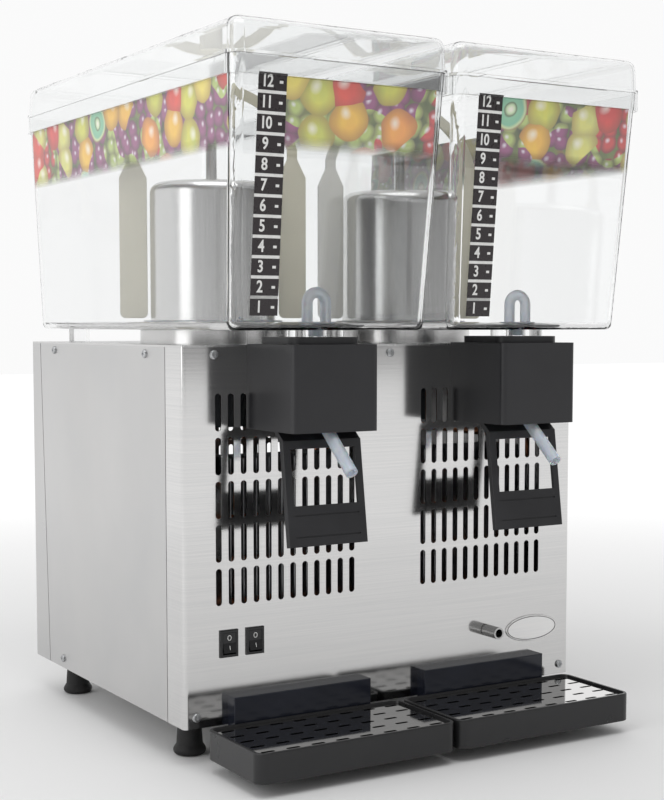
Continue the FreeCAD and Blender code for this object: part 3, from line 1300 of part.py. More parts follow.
def make_cable_gland():
    """Screwed gland with a lock nut inside the back panel."""
    def ring(radius, y0, y1):
        return rod(radius, Vector(GLAND_X, y0, GLAND_Z), Vector(GLAND_X, y1, GLAND_Z))

    inside = back_y - SHEET
    outer_end = back_y + 9.0
    inner_end = inside - 8.0
    nut_radius = GLAND_RADIUS * 1.5
    dome = ring(nut_radius, back_y, outer_end)
    dome = dome.makeFillet(3.0, [edge for edge in dome.Edges if edge.CenterOfMass.y > outer_end - 0.1])
    thread = ring(GLAND_RADIUS - RUNNING, inner_end, back_y + 1)
    nut = ring(nut_radius, inside - 5.0, inside)
    return joined(dome, thread, nut).cut(ring(GLAND_BORE, inner_end - 1, outer_end + 1))


# ---- write every sub-part --------------------------------------------------------------------------

save("base_plate", make_base_plate())
save("front_panel", make_front_panel())
save("back_panel", make_back_panel())
save("top_plate", make_top_plate())
group("feet", [make_foot(x, y) for x, y in foot_places])
group("foot_studs", [make_foot_stud(x, y) for x, y in foot_places])
group("screws", [screw(place, way) for place, way in all_panel_screws + tap_screw_seats])
save("badge_plate", make_badge_plate())
save("drain_tube", make_drain_tube())
save("compressor", make_compressor())
group("compressor_mounts", [post(9.0, x, y, pan_z, plate_z) for x, y in mount_places])
group("condenser_fins", make_condenser_fins())
save("condenser_coil", make_condenser_coil())
save("fan_shroud", make_fan_shroud())
save("fan_blade", make_fan_blade())
save("fan_motor", make_fan_motor())
save("filter_drier", make_filter_drier())
group("refrigerant_lines", make_refrigerant_lines())
group("lever_pins", [tap_pin(side, PIN_RADIUS, pin_half) for side in SIDES])
group("evaporator_coils", [make_evaporator_coil(side) for side in SIDES])
save("control_box", make_control_box())
save("cable_gland", make_cable_gland())

for side, switch_x in zip(SIDES, SWITCH_X):
    save(side + "_switch_housing", make_switch_housing(switch_x))
    save(side + "_switch_rocker", make_switch_rocker(switch_x))

for side in SIDES:
    save(side + "_side_panel", make_side_panel(side))
    save(side + "_bowl", make_bowl(side))
    save(side + "_lid", make_lid(side))
    save(side + "_bowl_seal", make_bowl_seal(side))
    save(side + "_evaporator", make_evaporator(side))
    save(side + "_drum_base", make_drum_base(side))
    save(side + "_agitator", make_agitator(side))
    save(side + "_drive_shaft", make_drive_shaft(side))
    save(side + "_gear_motor", make_gear_motor(side))
    save(side + "_tap_housing", make_tap_housing(side))
    save(side + "_lever", make_lever(side))
    save(side + "_lever_spring", make_lever_spring(side))
    save(side + "_pour_tube", make_pour_tube(side))
    save(side + "_outlet_plug", make_outlet_plug(side))
    save(side + "_drip_tray", make_drip_tray(side))
    save(side + "_tray_grid", make_tray_grid(side))
    save(side + "_tray_bracket", make_tray_bracket(side))
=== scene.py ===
import math

import bmesh
import bpy
from mathutils import Euler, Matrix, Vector


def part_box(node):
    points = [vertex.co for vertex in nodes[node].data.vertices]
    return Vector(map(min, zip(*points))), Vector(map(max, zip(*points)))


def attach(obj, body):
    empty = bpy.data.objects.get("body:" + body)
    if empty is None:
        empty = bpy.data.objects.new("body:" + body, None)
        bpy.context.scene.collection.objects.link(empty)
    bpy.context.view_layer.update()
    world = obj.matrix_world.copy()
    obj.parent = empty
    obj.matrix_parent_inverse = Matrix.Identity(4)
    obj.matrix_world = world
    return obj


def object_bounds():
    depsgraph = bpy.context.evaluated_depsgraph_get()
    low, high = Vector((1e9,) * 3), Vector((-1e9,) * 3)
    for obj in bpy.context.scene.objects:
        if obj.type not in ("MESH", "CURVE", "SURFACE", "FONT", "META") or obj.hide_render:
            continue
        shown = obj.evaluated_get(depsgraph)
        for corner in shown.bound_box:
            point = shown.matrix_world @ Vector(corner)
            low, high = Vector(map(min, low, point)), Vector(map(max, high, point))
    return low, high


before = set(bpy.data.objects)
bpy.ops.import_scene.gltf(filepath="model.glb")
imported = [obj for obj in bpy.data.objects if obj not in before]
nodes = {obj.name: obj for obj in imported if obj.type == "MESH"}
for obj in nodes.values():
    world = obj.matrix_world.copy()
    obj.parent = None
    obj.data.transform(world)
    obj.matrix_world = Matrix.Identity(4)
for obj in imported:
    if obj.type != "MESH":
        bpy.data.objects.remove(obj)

cad_bounds = [list(corner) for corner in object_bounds()]

MM = 0.001
SIDES = ("left", "right")


# ---- shaders ---------------------------------------------------------------------------------------

class Shader:
    """A Principled material, with short calls for the nodes that it needs."""

    def __init__(self, name, color, **sockets):
        self.material = bpy.data.materials.new(name)
        self.material.use_nodes = True
        self.tree = self.material.node_tree
        self.surface = self.tree.nodes["Principled BSDF"]
        self.surface.inputs["Base Color"].default_value = (*color, 1.0)
        for socket, value in sockets.items():
            self.surface.inputs[socket.replace("_", " ")].default_value = value

    def add(self, kind, **settings):
        node = self.tree.nodes.new(kind)
        for key, value in settings.items():
            setattr(node, key, value)
        return node

    def link(self, source, target):
        self.tree.links.new(source, target)

    def place(self, stretch=(1.0, 1.0, 1.0)):
        """The object's own coordinates in metres, stretched."""
        where = self.add("ShaderNodeTexCoord")
        mapping = self.add("ShaderNodeMapping")
        mapping.inputs["Scale"].default_value = stretch
        self.link(where.outputs["Object"], mapping.inputs["Vector"])
        return mapping.outputs["Vector"]

    def noise(self, scale, detail=3.0, stretch=(1.0, 1.0, 1.0), vector=None):
        node = self.add("ShaderNodeTexNoise")
        node.inputs["Scale"].default_value = scale
        node.inputs["Detail"].default_value = detail
        self.link(vector or self.place(stretch), node.inputs["Vector"])
        return node.outputs["Fac"]

    def ramp(self, factor, stops, interpolation="LINEAR"):
        node = self.add("ShaderNodeValToRGB")
        node.color_ramp.interpolation = interpolation
        elements = node.color_ramp.elements
        while len(elements) < len(stops):
            elements.new(1.0)
        for element, (position, color) in zip(elements, stops):
            element.position = position
            element.color = (*color, 1.0)
        self.link(factor, node.inputs["Fac"])
        return node.outputs["Color"]

    def spread(self, factor, low, high, from_low=0.3, from_high=0.7):
        """A factor carried over to the range low to high."""
        node = self.add("ShaderNodeMapRange")
        limits = {"From Min": from_low, "From Max": from_high, "To Min": low, "To Max": high}
        for socket, value in limits.items():
            node.inputs[socket].default_value = value
        self.link(factor, node.inputs["Value"])
        return node.outputs["Result"]

    def maths(self, operation, a, b):
        node = self.add("ShaderNodeMath", operation=operation)
        for socket, value in zip(node.inputs, (a, b)):
            if isinstance(value, (int, float)):
                socket.default_value = value
            else:
                self.link(value, socket)
        return node.outputs["Value"]

    def mix(self, factor, a, b, blend="MIX"):
        """Mix of two colours, each a socket or a plain colour."""
        node = self.add("ShaderNodeMix", data_type="RGBA", blend_type=blend)
        colors = [socket for socket in node.inputs if socket.type == "RGBA"]
        if isinstance(factor, (int, float)):
            node.inputs[0].default_value = factor
        else:
            self.link(factor, node.inputs[0])
        for socket, value in zip(colors, (a, b)):
            if isinstance(value, tuple):
                socket.default_value = (*value, 1.0)
            else:
                self.link(value, socket)
        return [socket for socket in node.outputs if socket.type == "RGBA"][0]

    def color(self, socket):
        self.link(socket, self.surface.inputs["Base Color"])

    def roughness(self, factor, low, high):
        self.link(self.spread(factor, low, high), self.surface.inputs["Roughness"])

    def bump(self, height, strength, distance):
        node = self.add("ShaderNodeBump")
        node.inputs["Strength"].default_value = strength
        node.inputs["Distance"].default_value = distance
        self.link(height, node.inputs["Height"])
        self.link(node.outputs["Normal"], self.surface.inputs["Normal"])


def brushed_steel(name, tone, rough, grain, along):
    """Rolled sheet with fine straight grain along one way, and soft smears in its shine."""
    shader = Shader(name, (tone, tone, tone), Metallic=1.0)
    stretch = [260.0, 260.0, 260.0]
    for axis in along:
        stretch["xyz".index(axis)] = 2.0
    fine = shader.noise(6.0, 4.0, tuple(stretch))
    smear = shader.noise(9.0, 3.0, (1.0, 1.0, 0.45))
    darker = (tone * 0.93,) * 3
    paler = (tone * 1.05, tone * 1.04, tone * 1.03)
    shader.color(shader.ramp(fine, [(0.25, darker), (0.75, paler)]))
    both = shader.maths("ADD", shader.maths("MULTIPLY", fine, 0.5), shader.maths("MULTIPLY", smear, 0.5))
    shader.roughness(both, rough * 0.75, rough * 1.35)
    shader.bump(fine, grain, 0.00004)
    return shader.material


def polished_steel(name, tone, rough):
    """Drawn and polished steel: nearly a mirror, with faint rub marks round it."""
    shader = Shader(name, (tone, tone * 0.99, tone * 0.98), Metallic=1.0)
    marks = shader.noise(40.0, 5.0, (0.6, 0.6, 6.0))
    shader.roughness(marks, rough * 0.6, rough * 1.6)
    shader.bump(marks, 0.05, 0.0001)
    return shader.material


def moulded_plastic(name, color, rough, grain=0.12, worn=1.35):
    """Moulded plastic: fine spark-eroded grain, and a slow drift in tone and shine."""
    shader = Shader(name, color, Specular_IOR_Level=0.45)
    drift = shader.noise(28.0, 3.0)
    paler = tuple(min(1.0, channel * worn) for channel in color)
    shader.color(shader.ramp(drift, [(0.3, color), (0.75, paler)]))
    shader.roughness(drift, rough * 0.85, rough * 1.2)
    shader.bump(shader.noise(1600.0, 2.0), grain, 0.00006)
    return shader.material


def clear_plastic(name):
    """Clear polycarbonate with a trace of grey and very slight waves in its faces."""
    shader = Shader(name, (0.985, 0.99, 0.99), Transmission_Weight=1.0, IOR=1.5, Roughness=0.0)
    waves = shader.noise(14.0, 2.0)
    shader.bump(waves, 0.06, 0.0006)
    return shader.material


def silicone(name):
    """Milky soft tube: light goes through it, but nothing shows sharply."""
    shader = Shader(name, (0.80, 0.86, 0.94), Transmission_Weight=0.55, IOR=1.41, Roughness=0.3,
                    Subsurface_Weight=0.25, Subsurface_Scale=0.004)
    clouds = shader.noise(160.0, 3.0)
    shader.color(shader.ramp(clouds, [(0.3, (0.74, 0.82, 0.92)), (0.7, (0.90, 0.94, 0.99))]))
    shader.bump(clouds, 0.08, 0.0002)
    return shader.material


def rubber(name):
    shader = Shader(name, (0.012, 0.012, 0.013), Specular_IOR_Level=0.35)
    dust = shader.noise(90.0, 4.0)
    shader.color(shader.ramp(dust, [(0.35, (0.010, 0.010, 0.011)), (0.8, (0.035, 0.034, 0.033))]))
    shader.roughness(dust, 0.45, 0.75)
    shader.bump(shader.noise(700.0), 0.25, 0.0001)
    return shader.material


def plain_metal(name, color, rough, metallic=1.0):
    """Metal or enamel inside the machine: mottled tone and shine."""
    shader = Shader(name, color, Metallic=metallic)
    mottle = shader.noise(60.0, 4.0)
    darker = tuple(channel * 0.7 for channel in color)
    shader.color(shader.ramp(mottle, [(0.3, darker), (0.7, color)]))
    shader.roughness(mottle, rough * 0.8, rough * 1.3)
    shader.bump(shader.noise(400.0), 0.1, 0.0001)
    return shader.material


def printed_ink(name, color, rough=0.35):
    """Printed film: flat ink with a faint orange-peel gloss."""
    shader = Shader(name, color, Specular_IOR_Level=0.5)
    mottle = shader.noise(220.0, 2.0)
    shader.color(shader.ramp(mottle, [(0.3, tuple(c * 0.9 for c in color)), (0.7, color)]))
    shader.roughness(mottle, rough * 0.8, rough * 1.2)
    shader.bump(mottle, 0.05, 0.0001)
    return shader.material


FRUIT_COLORS = [
    (0.68, 0.04, 0.03),
    (0.86, 0.44, 0.05),
    (0.52, 0.60, 0.10),
    (0.74, 0.12, 0.05),
    (0.86, 0.70, 0.14),
    (0.58, 0.03, 0.04),
    (0.90, 0.32, 0.06),
    (0.62, 0.66, 0.22),
]
FRUIT_PER_METRE = 33.0
BERRIES_PER_METRE = 74.0
PRINT_PALENESS = 0.16
PRINT_FADE = 0.22            # share of the band's height that fades out at its foot


def fruit_print(name, low_z, high_z):
    """Invented pattern: round fruit and cut slices lying on bunches of berries and dark leaves.

    The print fades out along its lower edge, so the clear wall shows again below it.
    """
    shader = Shader(name, (0.6, 0.2, 0.1), Roughness=0.3)
    where = shader.add("ShaderNodeTexCoord")
    parts = shader.add("ShaderNodeSeparateXYZ")
    shader.link(where.outputs["Object"], parts.inputs["Vector"])
    along = shader.maths("ADD", parts.outputs["X"], parts.outputs["Y"])
    streaks = shader.noise(150.0, 4.0, (1.0, 1.0, 0.15))
    blush = shader.noise(55.0, 2.0)

    def wavy(source, amount):
        wave = shader.maths("MULTIPLY", shader.maths("SUBTRACT", shader.noise(48.0, 1.0), 0.5), amount)
        return shader.maths("ADD", source, wave)

    flat = shader.add("ShaderNodeCombineXYZ")
    shader.link(wavy(along, 0.008), flat.inputs["X"])
    shader.link(wavy(parts.outputs["Z"], 0.006), flat.inputs["Y"])

    def cells(per_metre, randomness):
        """Scattered round cells: distance from each one's middle, its chance colour and its lit spot."""
        node = shader.add("ShaderNodeTexVoronoi", voronoi_dimensions="2D")
        node.inputs["Scale"].default_value = per_metre
        node.inputs["Randomness"].default_value = randomness
        shader.link(flat.outputs["Vector"], node.inputs["Vector"])
        chance = shader.add("ShaderNodeSeparateColor")
        shader.link(node.outputs["Color"], chance.inputs["Color"])
        offset = shader.add("ShaderNodeVectorMath", operation="SUBTRACT")
        shader.link(flat.outputs["Vector"], offset.inputs[0])
        shader.link(node.outputs["Position"], offset.inputs[1])
        aside = shader.add("ShaderNodeVectorMath", operation="ADD")
        aside.inputs[1].default_value = (0.13 / per_metre, -0.16 / per_metre, 0.0)
        shader.link(offset.outputs["Vector"], aside.inputs[0])
        far = shader.add("ShaderNodeVectorMath", operation="LENGTH")
        shader.link(aside.outputs["Vector"], far.inputs[0])
        spot = shader.spread(far.outputs["Value"], 1.0, 0.0, 0.03 / per_metre, 0.20 / per_metre)
        return node.outputs["Distance"], chance.outputs, spot

    leaves = shader.ramp(blush, [
        (0.35, (0.03, 0.05, 0.015)),
        (0.6, (0.14, 0.20, 0.04)),
        (0.8, (0.30, 0.05, 0.03)),
    ])

    berry, berry_chance, berry_spot = cells(BERRIES_PER_METRE, 0.75)
    bunch = shader.noise(17.0, 1.0)
    berries = shader.ramp(bunch, [
        (0.40, (0.30, 0.06, 0.20)),
        (0.50, (0.46, 0.58, 0.16)),
        (0.60, (0.62, 0.05, 0.05)),
    ], "CONSTANT")
    berries = shader.mix(shader.spread(berry, 0.0, 0.75, 0.25, 0.60), berries, (0.05, 0.015, 0.03))
    berries = shader.mix(shader.maths("MULTIPLY", berry_spot, 0.75), berries, (0.90, 0.88, 0.96))
    picture = shader.mix(shader.spread(berry, 0.0, 1.0, 0.56, 0.62), berries, leaves)

    fruit, chance, spot = cells(FRUIT_PER_METRE, 0.85)
    step = 1.0 / len(FRUIT_COLORS)
    stops = [(index * step, color) for index, color in enumerate(FRUIT_COLORS)]
    skin = shader.ramp(chance["Red"], stops, "CONSTANT")
    skin = shader.mix(shader.spread(streaks, 0.0, 0.45), skin, (0.95, 0.72, 0.30), "SOFT_LIGHT")
    skin = shader.mix(shader.spread(blush, 0.0, 0.45), skin, (0.95, 0.78, 0.30), "OVERLAY")
    skin = shader.mix(shader.spread(fruit, 0.0, 0.62, 0.22, 0.56), skin, (0.20, 0.04, 0.02))
    skin = shader.mix(shader.maths("MULTIPLY", spot, 0.7), skin, (1.0, 0.97, 0.90))
    slice_ring = shader.maths("ADD", fruit, shader.maths("MULTIPLY", streaks, 0.05))
    flesh = shader.ramp(slice_ring, [
        (0.06, (0.93, 0.93, 0.78)),
        (0.14, (0.62, 0.80, 0.48)),
        (0.20, (0.10, 0.18, 0.08)),
        (0.24, (0.24, 0.58, 0.36)),
        (0.42, (0.20, 0.54, 0.36)),
        (0.50, (0.62, 0.74, 0.40)),
        (0.56, (0.30, 0.20, 0.08)),
    ])
    skin = shader.mix(shader.maths("GREATER_THAN", chance["Blue"], 0.84), skin, flesh)
    is_fruit = shader.maths("GREATER_THAN", chance["Green"], 0.24)
    inside = shader.spread(fruit, 1.0, 0.0, 0.53, 0.56)
    picture = shader.mix(shader.maths("MULTIPLY", inside, is_fruit), picture, skin)

    shader.color(shader.mix(PRINT_PALENESS, picture, (0.94, 0.92, 0.90)))
    fade = shader.spread(parts.outputs["Z"], 0.0, 1.0, low_z, low_z + PRINT_FADE * (high_z - low_z))
    shader.link(shader.maths("MULTIPLY", fade, 0.94), shader.surface.inputs["Alpha"])
    shader.bump(streaks, 0.04, 0.0001)
    return shader.material


# ---- finishes of the CAD parts ---------------------------------------------------------------------

front_steel = brushed_steel("front_steel", 0.66, 0.10, 0.06, "xy")
side_steel = brushed_steel("side_steel", 0.58, 0.34, 0.25, "yz")
top_steel = brushed_steel("top_steel", 0.62, 0.24, 0.20, "y")
drum_steel = brushed_steel("drum_steel", 0.60, 0.22, 0.15, "z")
mirror_steel = polished_steel("mirror_steel", 0.74, 0.05)
drain_steel = brushed_steel("drain_steel", 0.50, 0.24, 0.30, "y")
badge_silver = brushed_steel("badge_silver", 0.86, 0.32, 0.10, "x")
spring_steel = plain_metal("spring_steel", (0.55, 0.56, 0.58), 0.3)
black_plastic = moulded_plastic("black_plastic", (0.016, 0.016, 0.018), 0.36)
tray_plastic = moulded_plastic("tray_plastic", (0.014, 0.014, 0.015), 0.30)
bracket_plastic = moulded_plastic("bracket_plastic", (0.012, 0.014, 0.022), 0.14, grain=0.03)
switch_plastic = moulded_plastic("switch_plastic", (0.010, 0.010, 0.011), 0.22, grain=0.03)
paddle_plastic = moulded_plastic("paddle_plastic", (0.84, 0.80, 0.63), 0.42, grain=0.06, worn=1.05)
bowl_plastic = clear_plastic("bowl_plastic")
tube_silicone = silicone("tube_silicone")
foot_rubber = rubber("foot_rubber")
copper = plain_metal("copper", (0.72, 0.30, 0.16), 0.35)
aluminium = plain_metal("aluminium", (0.62, 0.63, 0.64), 0.4)
black_enamel = plain_metal("black_enamel", (0.02, 0.02, 0.02), 0.4, 0.0)
motor_enamel = plain_metal("motor_enamel", (0.10, 0.11, 0.12), 0.45, 0.2)
zinc = plain_metal("zinc", (0.55, 0.56, 0.57), 0.3)

FINISHES = {
    front_steel: ["front_panel"],
    side_steel: ["left_side_panel", "right_side_panel", "back_panel"],
    top_steel: ["top_plate", "base_plate"],
    mirror_steel: ["left_tray_grid", "right_tray_grid"],
    drain_steel: ["drain_tube"],
    badge_silver: ["badge_plate"],
    drum_steel: ["left_evaporator", "right_evaporator", "left_drum_base", "right_drum_base",
                 "left_drive_shaft", "right_drive_shaft"],
    spring_steel: ["left_lever_spring", "right_lever_spring", "lever_pins"],
    zinc: ["screws", "foot_studs", "fan_shroud"],
    black_plastic: ["left_tap_housing", "right_tap_housing", "left_lever", "right_lever", "cable_gland",
                    "fan_blade", "control_box"],
    tray_plastic: ["left_drip_tray", "right_drip_tray"],
    bracket_plastic: ["left_tray_bracket", "right_tray_bracket"],
    switch_plastic: ["left_switch_housing", "right_switch_housing", "left_switch_rocker",
                     "right_switch_rocker"],
    paddle_plastic: ["left_agitator", "right_agitator"],
    bowl_plastic: ["left_bowl", "right_bowl", "left_lid", "right_lid"],
    tube_silicone: ["left_pour_tube", "right_pour_tube", "left_outlet_plug", "right_outlet_plug",
                    "left_bowl_seal", "right_bowl_seal"],
    foot_rubber: ["feet", "compressor_mounts"],
    copper: ["condenser_coil", "refrigerant_lines", "evaporator_coils", "filter_drier"],
    aluminium: ["condenser_fins"],
    black_enamel: ["compressor"],
    motor_enamel: ["left_gear_motor", "right_gear_motor", "fan_motor"],
}

for material, names in FINISHES.items():
    for name in names:
        mesh = nodes[name].data
        mesh.materials.clear()
        mesh.materials.append(material)


# ---- places on the bowls ---------------------------------------------------------------------------

BOWL_OUTLET_DROP = 12.0 * MM     # foot of the bowl's outlet below its underside
FACE_FOOT = 4.0 * MM             # the flat of a face begins above this height
FACE_FOOT_TOP = 8.0 * MM


def face_line(name, axis, outermost):
    """The outer face of a bowl as (z, place) at its foot and at its rim, along x or y."""
    points = [vertex.co for vertex in nodes[name].data.vertices]
    rim_z = max(point.z for point in points)
    floor_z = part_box(name)[0].z + BOWL_OUTLET_DROP
    foot = [p for p in points if floor_z + FACE_FOOT < p.z < floor_z + FACE_FOOT_TOP]
    rim = [p for p in points if p.z > rim_z - 0.5 * MM]
    low = outermost(foot, key=lambda p: p[axis])
    high = outermost(rim, key=lambda p: p[axis])
    return (low.z, low[axis]), (high.z, high[axis])


class BowlFace:
    """A flat leaning face of a bowl: turns (along, height, lift) into a point on it."""

    def __init__(self, side, facing):
        self.facing = facing
        axis = 1 if facing == "front" else 0
        outermost = max if facing == "right" else min
        (self.z0, self.at0), (self.z1, self.at1) = face_line(side + "_bowl", axis, outermost)
        self.out = 1 if facing == "right" else -1

    def point(self, along, z, lift):
        share = (z - self.z0) / (self.z1 - self.z0)
        surface = self.at0 + share * (self.at1 - self.at0) + self.out * lift
        if self.facing == "front":
            return Vector((along, surface, z))
        return Vector((surface, along, z))


def new_object(name, mesh, material, body):
    piece = bpy.data.objects.new(name, mesh)
    bpy.context.scene.collection.objects.link(piece)
    mesh.materials.clear()
    mesh.materials.append(material)
    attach(piece, body)
    return piece


FILM = 0.12 * MM
GLUE = 0.05 * MM


def film(bm, face, along0, along1, z0, z1, lift, corner=0.0, steps=6):
    """Thin closed sheet on a bowl's face, with rounded corners."""
    outline = []
    centres = [(along1 - corner, z1 - corner, 0), (along0 + corner, z1 - corner, 90),
               (along0 + corner, z0 + corner, 180), (along1 - corner, z0 + corner, 270)]
    for centre_along, centre_z, start in centres:
        turns = steps if corner else 0
        for step in range(turns + 1):
            angle = math.radians(start + (90 * step / steps if corner else 0))
            outline.append((centre_along + corner * math.cos(angle), centre_z + corner * math.sin(angle)))
    outer = [bm.verts.new(face.point(along, z, lift + FILM)) for along, z in outline]
    inner = [bm.verts.new(face.point(along, z, lift)) for along, z in outline]
    count = len(outline)
    bm.faces.new(outer)
    bm.faces.new(list(reversed(inner)))
    for index in range(count):
        after = (index + 1) % count
        bm.faces.new((outer[index], inner[index], inner[after], outer[after]))


def finished(bm, name):
    bmesh.ops.recalc_face_normals(bm, faces=bm.faces)
    mesh = bpy.data.meshes.new(name)
    bm.to_mesh(mesh)
    bm.free()
    return mesh


# ---- the numbered scale ----------------------------------------------------------------------------

BOWL_LIFT = 12.0 * MM        # bowl's underside above the drum's foot
SCALE_MARKS = 12
SCALE_LEFT = -74.0 * MM
SCALE_WIDTH = 24.0 * MM
SCALE_FIRST = 11.0 * MM      # foot of the first block above the bowl's underside
SCALE_PITCH = 15.0 * MM
BLOCK_HEIGHT = 12.6 * MM
DIGIT_HEIGHT = 9.4 * MM
DIGIT_NARROWING = 0.86
DIGIT_PLACE = 7.7 * MM       # digits' middle from the block's left edge
DASH_PLACE = 19.4 * MM
DASH_LENGTH = 3.0 * MM
DASH_HEIGHT = 2.0 * MM

white_ink = printed_ink("white_ink", (0.86, 0.86, 0.84))
black_ink = printed_ink("black_ink", (0.022, 0.016, 0.018), 0.3)


def digits_mesh(text, size):
    """Flat text as a closed thin mesh, centred on its own middle."""
    curve = bpy.data.curves.new("digits", "FONT")
    curve.body = text
    curve.size = size
    curve.extrude = 0.5
    curve.offset = size * 0.022
    curve.space_character = 0.92
    curve.resolution_u = 4
    curve.align_x = "CENTER"
    curve.align_y = "CENTER"
    carrier = bpy.data.objects.new("digits", curve)
    mesh = bpy.data.meshes.new_from_object(carrier)
    bpy.data.objects.remove(carrier)
    for vertex in mesh.vertices:
        vertex.co.x *= DIGIT_NARROWING
    return mesh


def stamp(bm, mesh, face, along, z, lift):
    """Lay a flat mesh on a face; its own thickness of 1 becomes a film's."""
    first = len(bm.verts)
    bm.from_mesh(mesh)
    bm.verts.ensure_lookup_table()
    for vertex in bm.verts[first:]:
        u, v, depth = vertex.co
        vertex.co = face.point(along + u, z + v, lift + FILM * (depth + 0.5))


def make_scale(side):
    """White strip with twelve black blocks, each with its number and a dash."""
    body = side + "_bowl"
    face = BowlFace(side, "front")
    middle = sum(corner.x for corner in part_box(body)) / 2
    left = middle + SCALE_LEFT
    right = left + SCALE_WIDTH
    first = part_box(side + "_evaporator")[0].z + BOWL_LIFT + SCALE_FIRST
    strip = bmesh.new()
    blocks = bmesh.new()
    marks = bmesh.new()
    top = first + SCALE_PITCH * (SCALE_MARKS - 1) + BLOCK_HEIGHT
    film(strip, face, left + 0.2 * MM, right - 0.2 * MM, first + 0.3 * MM, top - 0.3 * MM, GLUE)
    for mark in range(SCALE_MARKS):
        foot = first + SCALE_PITCH * mark
        height = foot + BLOCK_HEIGHT / 2
        film(blocks, face, left, right, foot, foot + BLOCK_HEIGHT, GLUE + FILM)
        digits = digits_mesh(str(mark + 1), DIGIT_HEIGHT * 1.32)
        stamp(marks, digits, face, left + DIGIT_PLACE, height, GLUE + 2 * FILM)
        bpy.data.meshes.remove(digits)
        dash = left + DASH_PLACE
        film(marks, face, dash - DASH_LENGTH / 2, dash + DASH_LENGTH / 2, height - DASH_HEIGHT / 2,
             height + DASH_HEIGHT / 2, GLUE + 2 * FILM)
    new_object(side + "_scale_strip", finished(strip, "scale_strip"), white_ink, body)
    new_object(side + "_scale_blocks", finished(blocks, "scale_blocks"), black_ink, body)
    new_object(side + "_scale_numbers", finished(marks, "scale_numbers"), white_ink, body)


# ---- the fruit print -------------------------------------------------------------------------------

BAND_HEIGHT = 54.0 * MM
BAND_TUCK = 1.0 * MM         # how far it goes up behind the lid's skirt
BAND_CORNER = 1.0 * MM
BAND_END = 11.0 * MM         # kept clear of the bowl's rounded corners

band_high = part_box("left_lid")[0].z + BAND_TUCK
band_low = band_high - BAND_HEIGHT
fruit = fruit_print("fruit_print", band_low, band_high)


def make_fruit_bands(side):
    body = side + "_bowl"
    low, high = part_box(body)
    middle = (low.x + high.x) / 2
    front = bmesh.new()
    film(front, BowlFace(side, "front"), middle + SCALE_LEFT + SCALE_WIDTH, high.x - BAND_END,
         band_low, band_high, GLUE, BAND_CORNER)
    new_object(side + "_fruit_front", finished(front, "fruit_front"), fruit, body)
    flank = bmesh.new()
    film(flank, BowlFace(side, side), low.y + BAND_END, high.y - BAND_END,
         band_low, band_high, GLUE, BAND_CORNER)
    new_object(side + "_fruit_flank", finished(flank, "fruit_flank"), fruit, body)


# ---- marks on the switches and the badge -----------------------------------------------------------

def ring_mesh(bm, centre, radius_x, radius_z, width, depth, steps=48):
    """Flat closed ring facing the user, standing forward of its centre by depth."""
    loops = []
    for grow, forward in ((0, 0), (0, depth), (width, depth), (width, 0)):
        loops.append([
            bm.verts.new(centre + Vector((
                (radius_x + grow) * math.cos(2 * math.pi * step / steps),
                -forward,
                (radius_z + grow) * math.sin(2 * math.pi * step / steps),
            )))
            for step in range(steps)
        ])
    for index in range(4):
        here = loops[index]
        beyond = loops[(index + 1) % 4]
        for step in range(steps):
            after = (step + 1) % steps
            bm.faces.new((here[step], here[after], beyond[after], beyond[step]))


ROCKER_FRONT = 6.0 * MM      # depth of the rocker's front part
AXLE_HALF = 4.0 * MM         # its face lies farther from the middle than this
ROCKER_EDGE = 3.0 * MM
RING_WIDTH = 1.3 * MM
RING_HEIGHT = 1.7 * MM
RING_LINE = 0.5 * MM
BAR_SIZE = Vector((0.5 * MM, 0.1 * MM, 3.4 * MM))
MARK_DEPTH = 0.1 * MM
MARK_LIFT = 0.02 * MM


def make_switch_marks(side):
    """The ring and the bar on a rocker, each lying on its own leaning face."""
    rocker = nodes[side + "_switch_rocker"].data.vertices
    low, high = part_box(side + "_switch_rocker")
    middle = (low.x + high.x) / 2
    points = [vertex.co for vertex in rocker]
    front = [p for p in points if p.y < low.y + ROCKER_FRONT and abs(p.x - middle) > AXLE_HALF]
    top = max(front, key=lambda p: p.z - p.y)
    foot = min(front, key=lambda p: p.z + p.y)
    between = [p for p in front if foot.z + ROCKER_EDGE < p.z < top.z - ROCKER_EDGE]
    ridge = min(between, key=lambda p: p.y)
    marks = bmesh.new()
    for a, b, kind in ((ridge, top, "ring"), (foot, ridge, "bar")):
        start = len(marks.verts)
        if kind == "ring":
            ring_mesh(marks, Vector((0, 0, 0)), RING_WIDTH, RING_HEIGHT, RING_LINE, MARK_DEPTH, 28)
        else:
            bmesh.ops.create_cube(marks, size=1.0)
            marks.verts.ensure_lookup_table()
            for vertex in marks.verts[start:]:
                vertex.co = vertex.co * BAR_SIZE - Vector((0, MARK_DEPTH / 2, 0))
        lean = math.atan2(b.y - a.y, b.z - a.z)
        turn = Euler((-lean, 0, 0)).to_matrix()
        centre = (a + b) / 2
        marks.verts.ensure_lookup_table()
        for vertex in marks.verts[start:]:
            vertex.co = turn @ vertex.co + Vector((middle, centre.y - MARK_LIFT, centre.z))
    new_object(side + "_switch_marks", finished(marks, "switch_marks"), white_ink, side + "_rocker")


RIM_INSET = 1.9 * MM
RIM_LINE = 0.6 * MM
RIM_DEPTH = 0.2 * MM


def make_badge_rim():
    """Plain raised line round the blank badge."""
    low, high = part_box("badge_plate")
    centre = Vector(((low.x + high.x) / 2, low.y, (low.z + high.z) / 2))
    rim = bmesh.new()
    half_width = (high.x - low.x) / 2 - RIM_INSET
    half_height = (high.z - low.z) / 2 - RIM_INSET
    ring_mesh(rim, centre, half_width, half_height, RIM_LINE, RIM_DEPTH, 96)
    new_object("badge_rim", finished(rim, "badge_rim"), black_ink, "root")


for side in SIDES:
    make_scale(side)
    make_fruit_bands(side)
    make_switch_marks(side)
make_badge_rim()


# ---- floor, light and camera -----------------------------------------------------------------------

